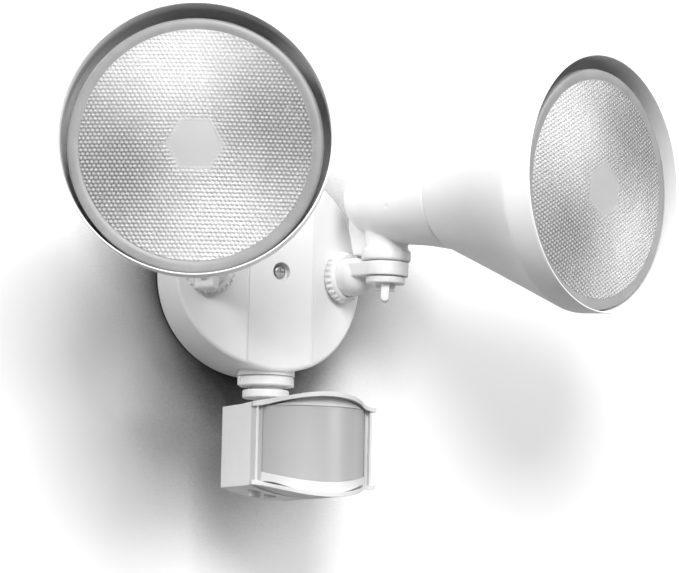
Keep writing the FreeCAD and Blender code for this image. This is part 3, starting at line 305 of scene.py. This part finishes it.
def buildSprayedFinish():
    # fine orange peel, a soft mottling and a few specks of dust
    group, given, results = newGroup("sprayedFinish", ("Grain", "Mottle"), ("Tone", "Sheen", "Height"))
    vector = given["Vector"]
    peel = addNoise(group, vector, given["Grain"], sprayed["peelDetail"], sprayed["peelRough"])
    clouds = addNoise(group, vector, given["Mottle"], sprayed["cloudDetail"], sprayed["cloudRough"])
    specks = addNode(group, "ShaderNodeTexVoronoi", {"Vector": vector, "Scale": sprayed["speckScale"]})
    near = fitRange(group, specks.outputs["Distance"], sprayed["speckSize"], (1.0, 0.0))
    dust = mathNode(group, "MULTIPLY", near, fitRange(group, clouds, sprayed["speckClouds"]))
    tone = mathNode(group, "SUBTRACT", clouds, mathNode(group, "MULTIPLY", dust, sprayed["speckDepth"]))
    group.links.new(tone, results["Tone"])
    group.links.new(clouds, results["Sheen"])
    group.links.new(peel, results["Height"])
    return group


stippled = {"waves": (-1.5, 3.0), "plump": 0.6, "middleFade": (-2.4, 2.4), "edgeFade": (-0.3, 0.3)}


def buildPressedStipple():
    # pillows in a close triangular pattern around a plain six-sided middle; the vector is in millimetres
    group, given, results = newGroup("pressedStipple", ("Pitch", "Middle", "Edge"), ("Height", "Mask"))
    parts = addNode(group, "ShaderNodeSeparateXYZ", {0: given["Vector"]})
    wave = mathNode(group, "DIVIDE", 2 * math.pi / math.cos(math.pi / 6), given["Pitch"])
    total, widest = None, None
    for angle in (90, 150, 210):
        shareX = mathNode(group, "MULTIPLY", parts.outputs[0], math.cos(math.radians(angle)))
        shareY = mathNode(group, "MULTIPLY", parts.outputs[1], math.sin(math.radians(angle)))
        along = mathNode(group, "ADD", shareX, shareY)
        ripple = mathNode(group, "COSINE", mathNode(group, "MULTIPLY", along, wave))
        reach = mathNode(group, "ABSOLUTE", along)
        total = ripple if total is None else mathNode(group, "ADD", total, ripple)
        widest = reach if widest is None else mathNode(group, "MAXIMUM", widest, reach)
    rounded = mathNode(group, "POWER", fitRange(group, total, stippled["waves"]), stippled["plump"])
    pastMiddle = mathNode(group, "SUBTRACT", widest, given["Middle"])
    pastEdge = mathNode(group, "SUBTRACT", lengthOf(group, given["Vector"]), given["Edge"])
    outside = fitRange(group, pastMiddle, stippled["middleFade"])
    inside = fitRange(group, pastEdge, stippled["edgeFade"], (1.0, 0.0))
    mask = mathNode(group, "MULTIPLY", outside, inside)
    group.links.new(mathNode(group, "MULTIPLY", rounded, mask), results["Height"])
    group.links.new(mask, results["Mask"])
    return group


sprayedFinish = buildSprayedFinish()
pressedStipple = buildPressedStipple()


def newMaterial(name):
    material = bpy.data.materials.new(name)
    material.use_nodes = True
    tree = material.node_tree
    return material, tree, tree.nodes["Principled BSDF"]


def sprayOn(tree, vector, look):
    sockets = {"Vector": vector, "Grain": look["grain"], "Mottle": look["mottle"]}
    return addNode(tree, "ShaderNodeGroup", sockets, node_tree=sprayedFinish).outputs


# Here "edge" is the radius that softens the edges and "depth" the relief of the grain.
looks = {
    "bodyPaint": {"dark": 0.80, "light": 0.85, "rough": (0.34, 0.44), "grain": 1100.0, "mottle": 24.0,
                  "bump": 0.25, "depth": 0.05, "edge": 0.8, "coat": 0.15},
    "shadePaint": {"dark": 0.80, "light": 0.85, "rough": (0.30, 0.40), "grain": 900.0, "mottle": 14.0,
                   "bump": 0.2, "depth": 0.05, "edge": 0.3, "coat": 0.2},
    "sensorPlastic": {"dark": 0.80, "light": 0.84, "rough": (0.38, 0.48), "grain": 1400.0, "mottle": 30.0,
                      "bump": 0.2, "depth": 0.04, "edge": 0.5},
    # the sensor's own plastic, painted darker on the bezel as shade
    "shadedBezelPlastic": {"dark": 0.60, "light": 0.64, "rough": (0.38, 0.48), "grain": 1400.0, "mottle": 30.0,
                     "bump": 0.2, "depth": 0.04, "edge": 0.5},
    "nutPlastic": {"dark": 0.78, "light": 0.84, "rough": (0.32, 0.42), "grain": 1500.0, "mottle": 40.0,
                   "bump": 0.2, "depth": 0.04, "edge": 0.4},
    "screwSteel": {"dark": (0.34, 0.34, 0.33), "light": (0.50, 0.50, 0.49), "rough": (0.22, 0.40),
                   "grain": 2600.0, "mottle": 220.0, "bump": 0.3, "depth": 0.03, "edge": 0.3, "metal": 1.0},
    "strapSteel": {"dark": (0.52, 0.53, 0.52), "light": (0.68, 0.68, 0.66), "rough": (0.30, 0.50),
                   "grain": 700.0, "mottle": 90.0, "bump": 0.3, "depth": 0.05, "edge": 0.4, "metal": 1.0},
    "groundGreen": {"dark": (0.05, 0.26, 0.10), "light": (0.08, 0.36, 0.15), "rough": (0.35, 0.50),
                    "grain": 1500.0, "mottle": 150.0, "bump": 0.2, "depth": 0.03, "edge": 0.3},
    "gasketFoam": {"dark": 0.015, "light": 0.05, "rough": (0.80, 0.95), "grain": 1800.0, "mottle": 120.0,
                   "bump": 0.9, "depth": 0.2, "edge": 0.3},
    "sealRubber": {"dark": 0.03, "light": 0.06, "rough": (0.55, 0.75), "grain": 900.0, "mottle": 60.0,
                   "bump": 0.4, "depth": 0.05, "edge": 0.3},
    "brassShell": {"dark": (0.56, 0.40, 0.16), "light": (0.72, 0.55, 0.26), "rough": (0.25, 0.42),
                   "grain": 1200.0, "mottle": 120.0, "bump": 0.2, "depth": 0.03, "edge": 0.3, "metal": 1.0},
    "socketCeramic": {"dark": (0.72, 0.70, 0.64), "light": (0.80, 0.78, 0.73), "rough": (0.45, 0.65),
                      "grain": 900.0, "mottle": 60.0, "bump": 0.4, "depth": 0.05, "edge": 0.5},
    "boardGreen": {"dark": (0.01, 0.12, 0.05), "light": (0.03, 0.22, 0.09), "rough": (0.35, 0.50),
                   "grain": 600.0, "mottle": 160.0, "bump": 0.3, "depth": 0.04, "edge": 0.1},
    "relayBlack": {"dark": (0.012, 0.012, 0.014), "light": (0.03, 0.03, 0.032), "rough": (0.40, 0.55),
                   "grain": 1200.0, "mottle": 90.0, "bump": 0.3, "depth": 0.04, "edge": 0.2},
    "canMetal": {"dark": 0.60, "light": 0.75, "rough": (0.20, 0.34), "grain": 2000.0, "mottle": 200.0,
                 "bump": 0.2, "depth": 0.02, "edge": 0.2, "metal": 1.0},
    "silveredRim": {"dark": 0.20, "light": 0.25, "rough": (0.30, 0.40), "grain": 1500.0, "mottle": 60.0,
                    "bump": 0.2, "depth": 0.03, "edge": 0.3},
    "knobGrey": {"dark": 0.74, "light": 0.80, "rough": (0.40, 0.50), "grain": 1500.0, "mottle": 120.0,
                 "bump": 0.2, "depth": 0.03, "edge": 0.3},
}
surface = {"clouds": (0.3, 0.7), "ior": 1.5, "coatRough": 0.15, "edgeSamples": 6}


def buildSurface(name, look):
    # paint, plastic, rubber, ceramic and metal all share this layout
    material, tree, shader = newMaterial(name)
    spray = sprayOn(tree, objectPlace(tree), look)
    rough = fitRange(tree, spray["Sheen"], surface["clouds"], look["rough"])
    soft = addNode(tree, "ShaderNodeBevel", {"Radius": look["edge"] * mm}, samples=surface["edgeSamples"])
    bump = addBump(tree, spray["Height"], look, Normal=soft.outputs["Normal"])
    tree.links.new(toneRamp(tree, spray["Tone"], look, surface["clouds"]), shader.inputs["Base Color"])
    tree.links.new(rough, shader.inputs["Roughness"])
    tree.links.new(bump, shader.inputs["Normal"])
    shader.inputs["Metallic"].default_value = look.get("metal", 0.0)
    shader.inputs["IOR"].default_value = surface["ior"]
    shader.inputs["Coat Weight"].default_value = look.get("coat", 0.0)
    shader.inputs["Coat Roughness"].default_value = surface["coatRough"]
    return material


glassLook = {
    "pitch": 2.15, "middle": 13.0, "edge": 55.0, "bump": 1.0, "depth": 0.8,   # the pressed pattern
    "pillow": 1.0, "gapShadeDull": 0.30, "gapShadeBright": 1.0, "hexagon": 0.70,   # its tones, with painted shade in the gaps between the pillows
    "rough": 0.04, "frost": 0.40, "clear": 0.48, "ior": 1.47,
    "turned": 1.85, "swell": (8.0, 34.0), "sectors": 0.75, "dull": 0.74,   # the painted reflection sectors, turned in radians
    "clouds": 0.05, "cloudDetail": 3.0, "waver": 0.5, "gather": (-0.7, 0.65),
    "mapSpan": 100.0,   # one across the lens's own map
}


def buildLampGlass():
    look = glassLook
    material, tree, shader = newMaterial("lampGlass")
    plan = addNode(tree, "ShaderNodeUVMap", uv_map="plan")
    scale = addNode(tree, "ShaderNodeMapping", {"Vector": plan.outputs["UV"]})
    scale.inputs["Scale"].default_value = (look["mapSpan"], look["mapSpan"], look["mapSpan"])
    scale.inputs["Location"].default_value = (-look["mapSpan"], -look["mapSpan"], 0)
    place = scale.outputs[0]
    sockets = {"Vector": place, "Pitch": look["pitch"], "Middle": look["middle"], "Edge": look["edge"]}
    stipple = addNode(tree, "ShaderNodeGroup", sockets, node_tree=pressedStipple).outputs
    tree.links.new(addBump(tree, stipple["Height"], look), shader.inputs["Normal"])
    # painted reflection: broad bright and dull sectors in the colour, standing in for the light that the
    # bowl behind gathers
    parts = addNode(tree, "ShaderNodeSeparateXYZ", {0: place})
    angle = mathNode(tree, "ARCTAN2", parts.outputs[1], parts.outputs[0])
    turned = mathNode(tree, "SUBTRACT", angle, look["turned"])
    sectors = mathNode(tree, "COSINE", mathNode(tree, "MULTIPLY", turned, 2.0))
    swelling = mathNode(tree, "MULTIPLY", sectors, fitRange(tree, lengthOf(tree, place), look["swell"]))
    clouds = addNoise(tree, place, look["clouds"], look["cloudDetail"])
    waver = mathNode(tree, "MULTIPLY", mathNode(tree, "SUBTRACT", clouds, 0.5), look["waver"])
    paintedGlow = mathNode(tree, "ADD", mathNode(tree, "MULTIPLY", swelling, look["sectors"]), waver)
    paintedReflection = fitRange(tree, paintedGlow, look["gather"])
    # painted shade in the gaps between the pillows, lighter in the painted bright sectors
    paintedGapShade = mixTones(tree, paintedReflection, look["gapShadeDull"], look["gapShadeBright"])
    pressed = mixTones(tree, stipple["Height"], paintedGapShade, look["pillow"])
    tone = mixTones(tree, stipple["Mask"], look["hexagon"], pressed)
    # painted reflection and shade: the whole lens is darker in the dull sectors
    level = fitRange(tree, paintedReflection, (0.0, 1.0), (look["dull"], 1.0))
    tree.links.new(mixTones(tree, level, 0.0, tone), shader.inputs["Base Color"])
    rough = fitRange(tree, stipple["Mask"], (0.0, 1.0), (look["frost"], look["rough"]))
    tree.links.new(rough, shader.inputs["Roughness"])
    shader.inputs["IOR"].default_value = look["ior"]
    shader.inputs["Transmission Weight"].default_value = look["clear"]
    return material


bowlLook = {"dark": 0.93, "light": 0.98, "rough": (0.12, 0.24), "mottle": 30.0, "detail": 5.0}


def buildSilveredBowl():
    material, tree, shader = newMaterial("silveredBowl")
    clouds = addNoise(tree, objectPlace(tree), bowlLook["mottle"], bowlLook["detail"])
    tree.links.new(toneRamp(tree, clouds, bowlLook), shader.inputs["Base Color"])
    tree.links.new(fitRange(tree, clouds, (0.0, 1.0), bowlLook["rough"]), shader.inputs["Roughness"])
    shader.inputs["Metallic"].default_value = 1.0
    return material


windowLook = {
    "dark": 0.36, "light": 0.44, "rough": 0.26, "soft": 0.3, "softDepth": 3.0,
    "grain": 900.0, "mottle": 22.0, "bump": 0.15, "depth": 0.05,
    "bands": 68.0, "bandDetail": 1.0, "bandSquash": 0.06,
    "bandShare": 1.2, "mottleShare": 0.3, "lowered": 0.25,
}


def buildMilkyWindow():
    look = windowLook
    material, tree, shader = newMaterial("milkyWindow")
    place = objectPlace(tree)
    spray = sprayOn(tree, place, look)
    # faint upright bands from the lens zones moulded behind the face
    stretch = addNode(tree, "ShaderNodeMapping", {"Vector": place})
    stretch.inputs["Scale"].default_value = (1.0, 1.0, look["bandSquash"])
    zones = addNoise(tree, stretch.outputs[0], look["bands"], look["bandDetail"])
    banding = mathNode(tree, "MULTIPLY", zones, look["bandShare"])
    mottling = mathNode(tree, "MULTIPLY", spray["Tone"], look["mottleShare"])
    blend = mathNode(tree, "SUBTRACT", mathNode(tree, "ADD", banding, mottling), look["lowered"])
    tree.links.new(toneRamp(tree, blend, look), shader.inputs["Base Color"])
    tree.links.new(addBump(tree, spray["Height"], look), shader.inputs["Normal"])
    shader.inputs["Roughness"].default_value = look["rough"]
    shader.inputs["Subsurface Weight"].default_value = look["soft"]
    shader.inputs["Subsurface Radius"].default_value = (1.0, 1.0, 1.0)
    shader.inputs["Subsurface Scale"].default_value = look["softDepth"] * mm
    return material


materials = {name: buildSurface(name, look) for name, look in looks.items()}
materials["lampGlass"] = buildLampGlass()
materials["silveredBowl"] = buildSilveredBowl()
materials["milkyWindow"] = buildMilkyWindow()
print("materials ready:", len(materials))

slotMaterial = {
    "body_paint": "bodyPaint", "shade_paint": "shadePaint", "sensor_shell": "sensorPlastic",
    "nut_plastic": "nutPlastic", "sensor_window": "milkyWindow", "screw_steel": "screwSteel",
    "strap_steel": "strapSteel", "ground_green": "groundGreen", "gasket_foam": "gasketFoam",
    "seal_rubber": "sealRubber", "lamp_mirror": "silveredBowl", "lamp_glass": "lampGlass",
    "capsule_glass": "lampGlass", "lamp_brass": "brassShell", "socket_ceramic": "socketCeramic",
    "board_green": "boardGreen", "relay_black": "relayBlack", "can_metal": "canMetal",
    "knob_grey": "knobGrey",
}
nodeMaterial = {"sensor_bezel": "shadedBezelPlastic"}   # the bezel gets a darker copy of its slot's plastic, as painted shade
for part in frame["record"]["subparts"]:
    mesh = nodes[part["node"]].data
    look = nodeMaterial.get(part["node"], slotMaterial[part["material_slot"]])
    mesh.materials.clear()
    mesh.materials.append(materials[look])


shade = {
    "collar": 27.2, "neck": 29.5, "neckZ": 45.85, "skirt": 64.5, "skirtZ": 124.3, "lip": 65.0, "lipZ": 140.3,
    "wall": 1.0, "collarLong": 5.5, "collarTop": (0.3, 0.6), "neckInside": 1.6, "lipInside": 0.5,
    "neckRound": [(-0.9, 0), (-0.3, 0.1), (0, 0.6)],
    "skirtRound": [(-0.9, -2.0), (-0.25, -0.5), (0, 1.2)],
    "lipRound": [(-0.1, -2.2), (0, -1.2), (-0.02, -0.5), (-0.2, -0.12), (-0.5, 0), (-0.85, -0.15)],
    "skirtInside": [(0, 1.4), (-0.3, -0.2)],
    "bow": 0.15, "bowPoints": 8, "steps": 160, "crease": 28,
}


def makeShade(side):
    inner = {key: shade[key] - shade["wall"] for key in ("collar", "neck", "skirt", "lip")}   # radii
    collarLow = shade["neckZ"] - shade["collarLong"]
    collarOut, collarIn = shade["collarTop"]
    bend = around(shade["skirt"], shade["skirtZ"], shade["skirtRound"])
    profile = [(shade["collar"], collarLow), (shade["collar"], shade["neckZ"] - collarOut)]
    profile += around(shade["neck"], shade["neckZ"], shade["neckRound"])
    profile += bowedLine(profile[-1], bend[0], shade["bow"], shade["bowPoints"]) + bend[1:]
    profile += around(shade["lip"], shade["lipZ"], shade["lipRound"])
    profile += [(inner["lip"], shade["lipZ"] - shade["lipInside"])]
    profile += around(inner["skirt"], shade["skirtZ"], shade["skirtInside"])
    profile += [(inner["neck"], shade["neckZ"] + shade["neckInside"])]
    profile += [(inner["collar"], shade["neckZ"] + collarIn), (inner["collar"], collarLow), profile[0]]
    piece = turnProfile(side + "Shade", profile, shade["steps"])
    piece.matrix_world = headFrame(side)
    finishPiece(piece, side + "_head", materials["shadePaint"], [side + "_shade"],
                shade["crease"])


for side in sides:
    makeShade(side)
print("shades done")


lamp = {
    "rim": 60.5, "rimZ": 130.0, "rimHigh": 8.9, "rimWide": 3.4, "lens": 55.2, "dome": 4.2, "glass": 3.2,
    "rimFoot": [(-0.6, 0), (0, 0.9)], "rimRound": [(0, -1.5), (-0.25, -0.7), (-0.8, -0.15), (-1.5, 0)],
    "groove": [(0.6, 0), (0, -0.25)], "domeInset": 0.3, "domeDrop": 0.2, "silverInset": 0.2,
    "domePoints": 14, "backPoints": 10, "turn": {"right": 30.0, "left": 0.0}, "steps": 128, "crease": 40,
}


def addPlan(piece, turn):
    # a flat map of the lens that is turned with it, so that the pressed pattern turns too
    span = glassLook["mapSpan"] * mm
    plan = piece.data.uv_layers.new(name="plan")
    for loop in piece.data.loops:
        x, y, _ = piece.data.vertices[loop.vertex_index].co
        plan.data[loop.index].uv = ((x * math.cos(turn) + y * math.sin(turn)) / span + 1,
                                    (y * math.cos(turn) - x * math.sin(turn)) / span + 1)


def silverRim(piece, side):
    # the faces beyond the pressed lens show the rim of the bowl behind
    piece.data.materials.append(materials["silveredRim"])
    away = lampFrame(side).inverted()
    for face in piece.data.polygons:
        spot = away @ face.center
        if math.hypot(spot.x, spot.y) > (lamp["lens"] - lamp["silverInset"]) * mm:
            face.material_index = 1


def makeLens(side):
    top = lamp["rimZ"]
    low = top - lamp["rimHigh"]
    inner = lamp["rim"] - lamp["rimWide"]
    turn = math.radians(lamp["turn"][side])
    profile = [(inner, low)] + around(lamp["rim"], low, lamp["rimFoot"])
    profile += around(lamp["rim"], top, lamp["rimRound"]) + around(lamp["lens"], top, lamp["groove"])
    profile += domeLine(lamp["lens"] - lamp["domeInset"], lamp["dome"], top - lamp["domeDrop"],
                        lamp["domePoints"])
    profile += domeLine(inner, lamp["dome"], top - lamp["glass"], lamp["backPoints"])[::-1]
    profile += [profile[0]]
    piece = turnProfile(side + "LensGlass", profile, lamp["steps"])
    pick(piece)
    bpy.ops.object.mode_set(mode="EDIT")
    bpy.ops.transform.rotate(value=turn, orient_axis="Z", center_override=(0, 0, 0))
    bpy.ops.object.mode_set(mode="OBJECT")
    addPlan(piece, turn)
    piece.matrix_world = lampFrame(side)
    finishPiece(piece, side + "_head", materials["lampGlass"], [side + "_lamp_lens"],
                lamp["crease"])
    silverRim(piece, side)


bowl = {
    "pocketIn": 3.0, "pocketZ": (29.2, 30.0), "neck": 19.0, "neckZ": 34.0, "neckStep": 0.6,
    "seat": 59.0, "seatZ": 121.0, "glass": 2.0, "sag": -4.0, "sagPoints": 14, "steps": 96, "crease": 40,
}


def makeReflector(side):
    pocket = bowl["neck"] - bowl["pocketIn"]
    pocketLow, pocketHigh = bowl["pocketZ"]
    neck = (bowl["neck"], bowl["neckZ"])
    seat = (bowl["seat"], bowl["seatZ"])
    neckInside = (bowl["neck"] - bowl["glass"], bowl["neckZ"] + bowl["neckStep"])
    seatInside = (bowl["seat"] - bowl["glass"], bowl["seatZ"])
    profile = [(0, pocketLow), (pocket, pocketLow), neck]
    profile += bowedLine(neck, seat, bowl["sag"], bowl["sagPoints"]) + [seatInside]
    profile += bowedLine(seatInside, neckInside, -bowl["sag"], bowl["sagPoints"])
    profile += [(pocket - bowl["glass"], pocketHigh), (0, pocketHigh)]
    piece = turnProfile(side + "Reflector", profile, bowl["steps"])
    piece.matrix_world = lampFrame(side)
    finishPiece(piece, side + "_head", materials["silveredBowl"],
                [side + "_lamp_reflector"], bowl["crease"])


for side in sides:
    makeLens(side)
    makeReflector(side)
print("lamps done")


castings = {
    "lampholder": {"voxel": 0.7, "rounds": 6, "slot": "body_paint", "look": "bodyPaint", "body": "_head"},
    "arm": {"voxel": 0.45, "rounds": 5, "slot": "body_paint", "look": "bodyPaint", "body": "_arm"},
    "wing_screw": {"voxel": 0.4, "rounds": 5, "slot": "nut_plastic", "look": "nutPlastic",
                   "body": "_wing_screw"},
}
crown = {"teeth": 36, "inner": 10.0, "outer": 12.85, "wide": 1.25, "tip": 0.45, "low": 11.2, "tall": 1.35}


def makeCrown(side):
    # the fine teeth on the upper edge of the pivot ring, each one narrower at its tip
    deep = (crown["outer"] - crown["inner"]) * mm
    middle = (crown["outer"] + crown["inner"]) / 2 * mm
    startClean()
    bpy.ops.mesh.primitive_cube_add(size=1)
    piece = bpy.context.object
    bpy.ops.object.mode_set(mode="EDIT")
    bpy.ops.transform.resize(value=(deep, crown["wide"] * mm, crown["tall"] * mm))
    bpy.ops.transform.translate(value=(middle, 0, crown["tall"] / 2 * mm))
    bpy.ops.object.mode_set(mode="OBJECT")
    for vertex in piece.data.vertices:
        vertex.select = vertex.co.z > crown["tall"] / 2 * mm
    bpy.ops.object.mode_set(mode="EDIT")
    bpy.ops.mesh.select_mode(type="VERT")
    bpy.ops.transform.resize(value=(1, crown["tip"] / crown["wide"], 1), center_override=(0, 0, 0))
    bpy.ops.mesh.select_all(action="SELECT")
    bpy.ops.mesh.spin(steps=crown["teeth"], dupli=True, angle=2 * math.pi, center=(0, 0, 0), axis=(0, 0, 1))
    closeSurface(meshing["toothGap"])
    piece.matrix_world = moved(pivotFrame(side), y=crown["low"], pitch=90)
    return piece


def makeCasting(side, node, cast):
    name = side + "".join(word.title() for word in node.split("_"))
    piece = softCopy(name, side + "_" + node, cast["voxel"], cast["rounds"])
    if node == "lampholder":
        joinTo(piece, [makeCrown(side)])
    finishPiece(piece, side + cast["body"], materials[cast["look"]], [side + "_" + node])


for side in sides:
    for node, cast in castings.items():
        makeCasting(side, node, cast)
print("castings done")


lockNut = {
    "bore": 10.25, "radius": 13.0, "low": 0.15, "high": 6.8, "footRound": [(-0.8, 0), (0, 0.8)],
    "shoulder": 2.2, "topInset": 2.0, "bow": -0.55, "bowPoints": 5, "boreRound": [(0.5, 0), (0, -0.4)],
    "ribs": 26, "ribRadius": 1.2, "ribCentre": 12.8, "ribLow": 0.9, "ribHigh": 5.6,
    "ribSteps": (12, 8), "steps": 104, "crease": 50,
}


def makeRib(angle):
    # a ball drawn out to the rib's height
    stretch = (lockNut["ribHigh"] - lockNut["ribLow"]) / 2 / lockNut["ribRadius"]
    segments, rings = lockNut["ribSteps"]
    middle = (lockNut["ribCentre"] * math.cos(angle) * mm, lockNut["ribCentre"] * math.sin(angle) * mm,
              (lockNut["ribLow"] + lockNut["ribHigh"]) / 2 * mm)
    startClean()
    bpy.ops.mesh.primitive_uv_sphere_add(segments=segments, ring_count=rings,
                                         radius=lockNut["ribRadius"] * mm, location=middle)
    rib = bpy.context.object
    startEdit()
    bpy.ops.transform.resize(value=(1, 1, stretch), center_override=tuple(rib.location))
    bpy.ops.object.mode_set(mode="OBJECT")
    return rib


def makeLockNut(side):
    low, high = lockNut["low"], lockNut["high"]
    profile = [(lockNut["bore"], low)] + around(lockNut["radius"], low, lockNut["footRound"])
    profile += [(lockNut["radius"], high - lockNut["shoulder"])]
    profile += bowedLine(profile[-1], (lockNut["radius"] - lockNut["topInset"], high), lockNut["bow"],
                         lockNut["bowPoints"])
    profile += around(lockNut["bore"], high, lockNut["boreRound"]) + [profile[0]]
    piece = turnProfile(side + "ArmLockNut", profile, lockNut["steps"])
    joinTo(piece, [makeRib(2 * math.pi * step / lockNut["ribs"]) for step in range(lockNut["ribs"])])
    piece.matrix_world = armFrame(side)
    finishPiece(piece, side + "_arm_lock_nut", materials["nutPlastic"],
                [side + "_arm_lock_nut"], lockNut["crease"])


for side in sides:
    makeLockNut(side)
print("lock nuts done")


wall = {
    "opening": 49.0, "size": 820.0, "gap": 0.4, "steps": 96, "tone": 1.0, "bounce": 0.55, "rough": 0.9,
    "reach": 0.065, "fade": (0.42, 0.78),   # in metres
    # deep and the core value set how dark the painted shade grows next to the object
    "deep": 0.49, "core": 0.03, "samples": 8,
}


def buildWallPaper():
    material, tree, shader = newMaterial("wallPaper")
    # painted shade: the paper's colour darkens softly where the light stands close in front of it
    near = addNode(tree, "ShaderNodeAmbientOcclusion", {"Distance": wall["reach"]}, samples=wall["samples"])
    shaded = fitRange(tree, near.outputs["AO"], (wall["deep"], 1.0), (wall["core"], 1.0))
    rays = addNode(tree, "ShaderNodeLightPath")
    seen = mixTones(tree, shaded, 0.0, wall["tone"])
    colour = mixTones(tree, rays.outputs["Is Camera Ray"], wall["bounce"], seen)
    tree.links.new(colour, shader.inputs["Base Color"])
    shader.inputs["Roughness"].default_value = wall["rough"]
    # clear from behind, and fading out into the white room well beyond the object's shadow
    geometry = addNode(tree, "ShaderNodeNewGeometry")
    fade = fitRange(tree, lengthOf(tree, objectPlace(tree)), wall["fade"])
    unseen = mathNode(tree, "MAXIMUM", geometry.outputs["Backfacing"], fade)
    clear = addNode(tree, "ShaderNodeBsdfTransparent")
    mix = addNode(tree, "ShaderNodeMixShader", {0: unseen, 1: shader.outputs[0], 2: clear.outputs[0]})
    tree.links.new(mix.outputs[0], tree.nodes["Material Output"].inputs["Surface"])
    return material


def makeWall():
    # a wide round sheet with the wall box's opening behind the canopy
    piece = turnProfile("wall", [(wall["opening"], 0), (wall["size"], 0)], wall["steps"])
    piece.matrix_world = facing((0, wall["gap"] * mm, 0), 0)
    applyPlace(piece)
    if piece.data.polygons[0].normal.y > 0:
        startEdit()
        bpy.ops.mesh.flip_normals()
        bpy.ops.object.mode_set(mode="OBJECT")
    piece.data.materials.append(buildWallPaper())


# The lamps that light the scene, and the point they aim at, are in metres and watts.
lampTarget = (0.03, -0.08, 0.0)
lamps = {
    "keyLamp": {"location": (0.92, -1.10, 0.50), "size": 1.10, "power": 16.6},
    "frontLamp": {"location": (-0.34, -1.30, 0.66), "size": 0.70, "power": 20.5},
    "rearLamp": {"location": (0.90, 2.60, 1.00), "size": 1.5, "power": 45.0},
    "sideLamp": {"location": (-1.35, -0.52, 0.78), "size": 0.5, "power": 13.5},
}


def addLamp(name, values):
    light = bpy.data.lights.new(name, "AREA")
    light.shape = "DISK"
    light.size = values["size"]
    light.energy = values["power"]
    holder = bpy.data.objects.new(name, light)
    bpy.context.scene.collection.objects.link(holder)
    holder.location = values["location"]
    way = Vector(lampTarget) - Vector(values["location"])
    holder.rotation_euler = way.to_track_quat("-Z", "Y").to_euler()


room = {"light": 0.15, "panels": 1.6, "panelDetail": 1.0, "panelSpan": (0.38, 0.60), "mirrored": (0.92, 1.0)}


def makeRoom():
    # a dim even room, white to the camera and nearly white in gloss and glass
    world = bpy.data.worlds.new("studio")
    bpy.context.scene.world = world
    world.use_nodes = True
    tree = world.node_tree
    background = tree.nodes["Background"]
    rays = addNode(tree, "ShaderNodeLightPath").outputs
    shiny = mathNode(tree, "MAXIMUM", rays["Is Glossy Ray"], rays["Is Transmission Ray"])
    seen = mathNode(tree, "MAXIMUM", rays["Is Camera Ray"], shiny)
    direction = addNode(tree, "ShaderNodeTexCoord").outputs["Generated"]
    panels = addNoise(tree, direction, room["panels"], room["panelDetail"])
    mirrored = fitRange(tree, panels, room["panelSpan"], room["mirrored"])
    reflected = mathNode(tree, "MAXIMUM", mirrored, rays["Is Camera Ray"])
    level = addNode(tree, "ShaderNodeMix", {0: seen, 2: room["light"], 3: reflected}, data_type="FLOAT")
    tree.links.new(level.outputs[0], background.inputs["Strength"])
    background.inputs["Color"].default_value = (1, 1, 1, 1)


# The distance, the target and the clip range are in metres.
cameraFit = {"azimuth": -24.74, "elevation": -6.71, "distance": 1.5, "target": (0.02647, -0.060, -0.00777),
             "roll": 1.15, "lens": 150.71, "sensor": 36.0, "clip": (0.01, 50.0)}


def makeCamera():
    azimuth, elevation, roll = (math.radians(cameraFit[key]) for key in ("azimuth", "elevation", "roll"))
    back = Vector((math.sin(azimuth) * math.cos(elevation), -math.cos(azimuth) * math.cos(elevation),
                   math.sin(elevation)))
    level = (-back).cross(Vector((0, 0, 1))).normalized()
    upright = level.cross(-back)
    right = level * math.cos(roll) + upright * math.sin(roll)
    up = upright * math.cos(roll) - level * math.sin(roll)
    camera = bpy.data.cameras.new("photoCamera")
    camera.lens = cameraFit["lens"]
    camera.sensor_width = cameraFit["sensor"]
    camera.sensor_fit = "HORIZONTAL"
    camera.clip_start, camera.clip_end = cameraFit["clip"]
    holder = bpy.data.objects.new("photoCamera", camera)
    bpy.context.scene.collection.objects.link(holder)
    stand = Matrix.Translation(Vector(cameraFit["target"]) + back * cameraFit["distance"])
    holder.matrix_world = stand @ Matrix((right, up, back)).transposed().to_4x4()
    bpy.context.scene.camera = holder


makeWall()
for name, values in lamps.items():
    addLamp(name, values)
makeRoom()
makeCamera()
bpy.context.scene.view_settings.view_transform = "Standard"
print("stage ready")
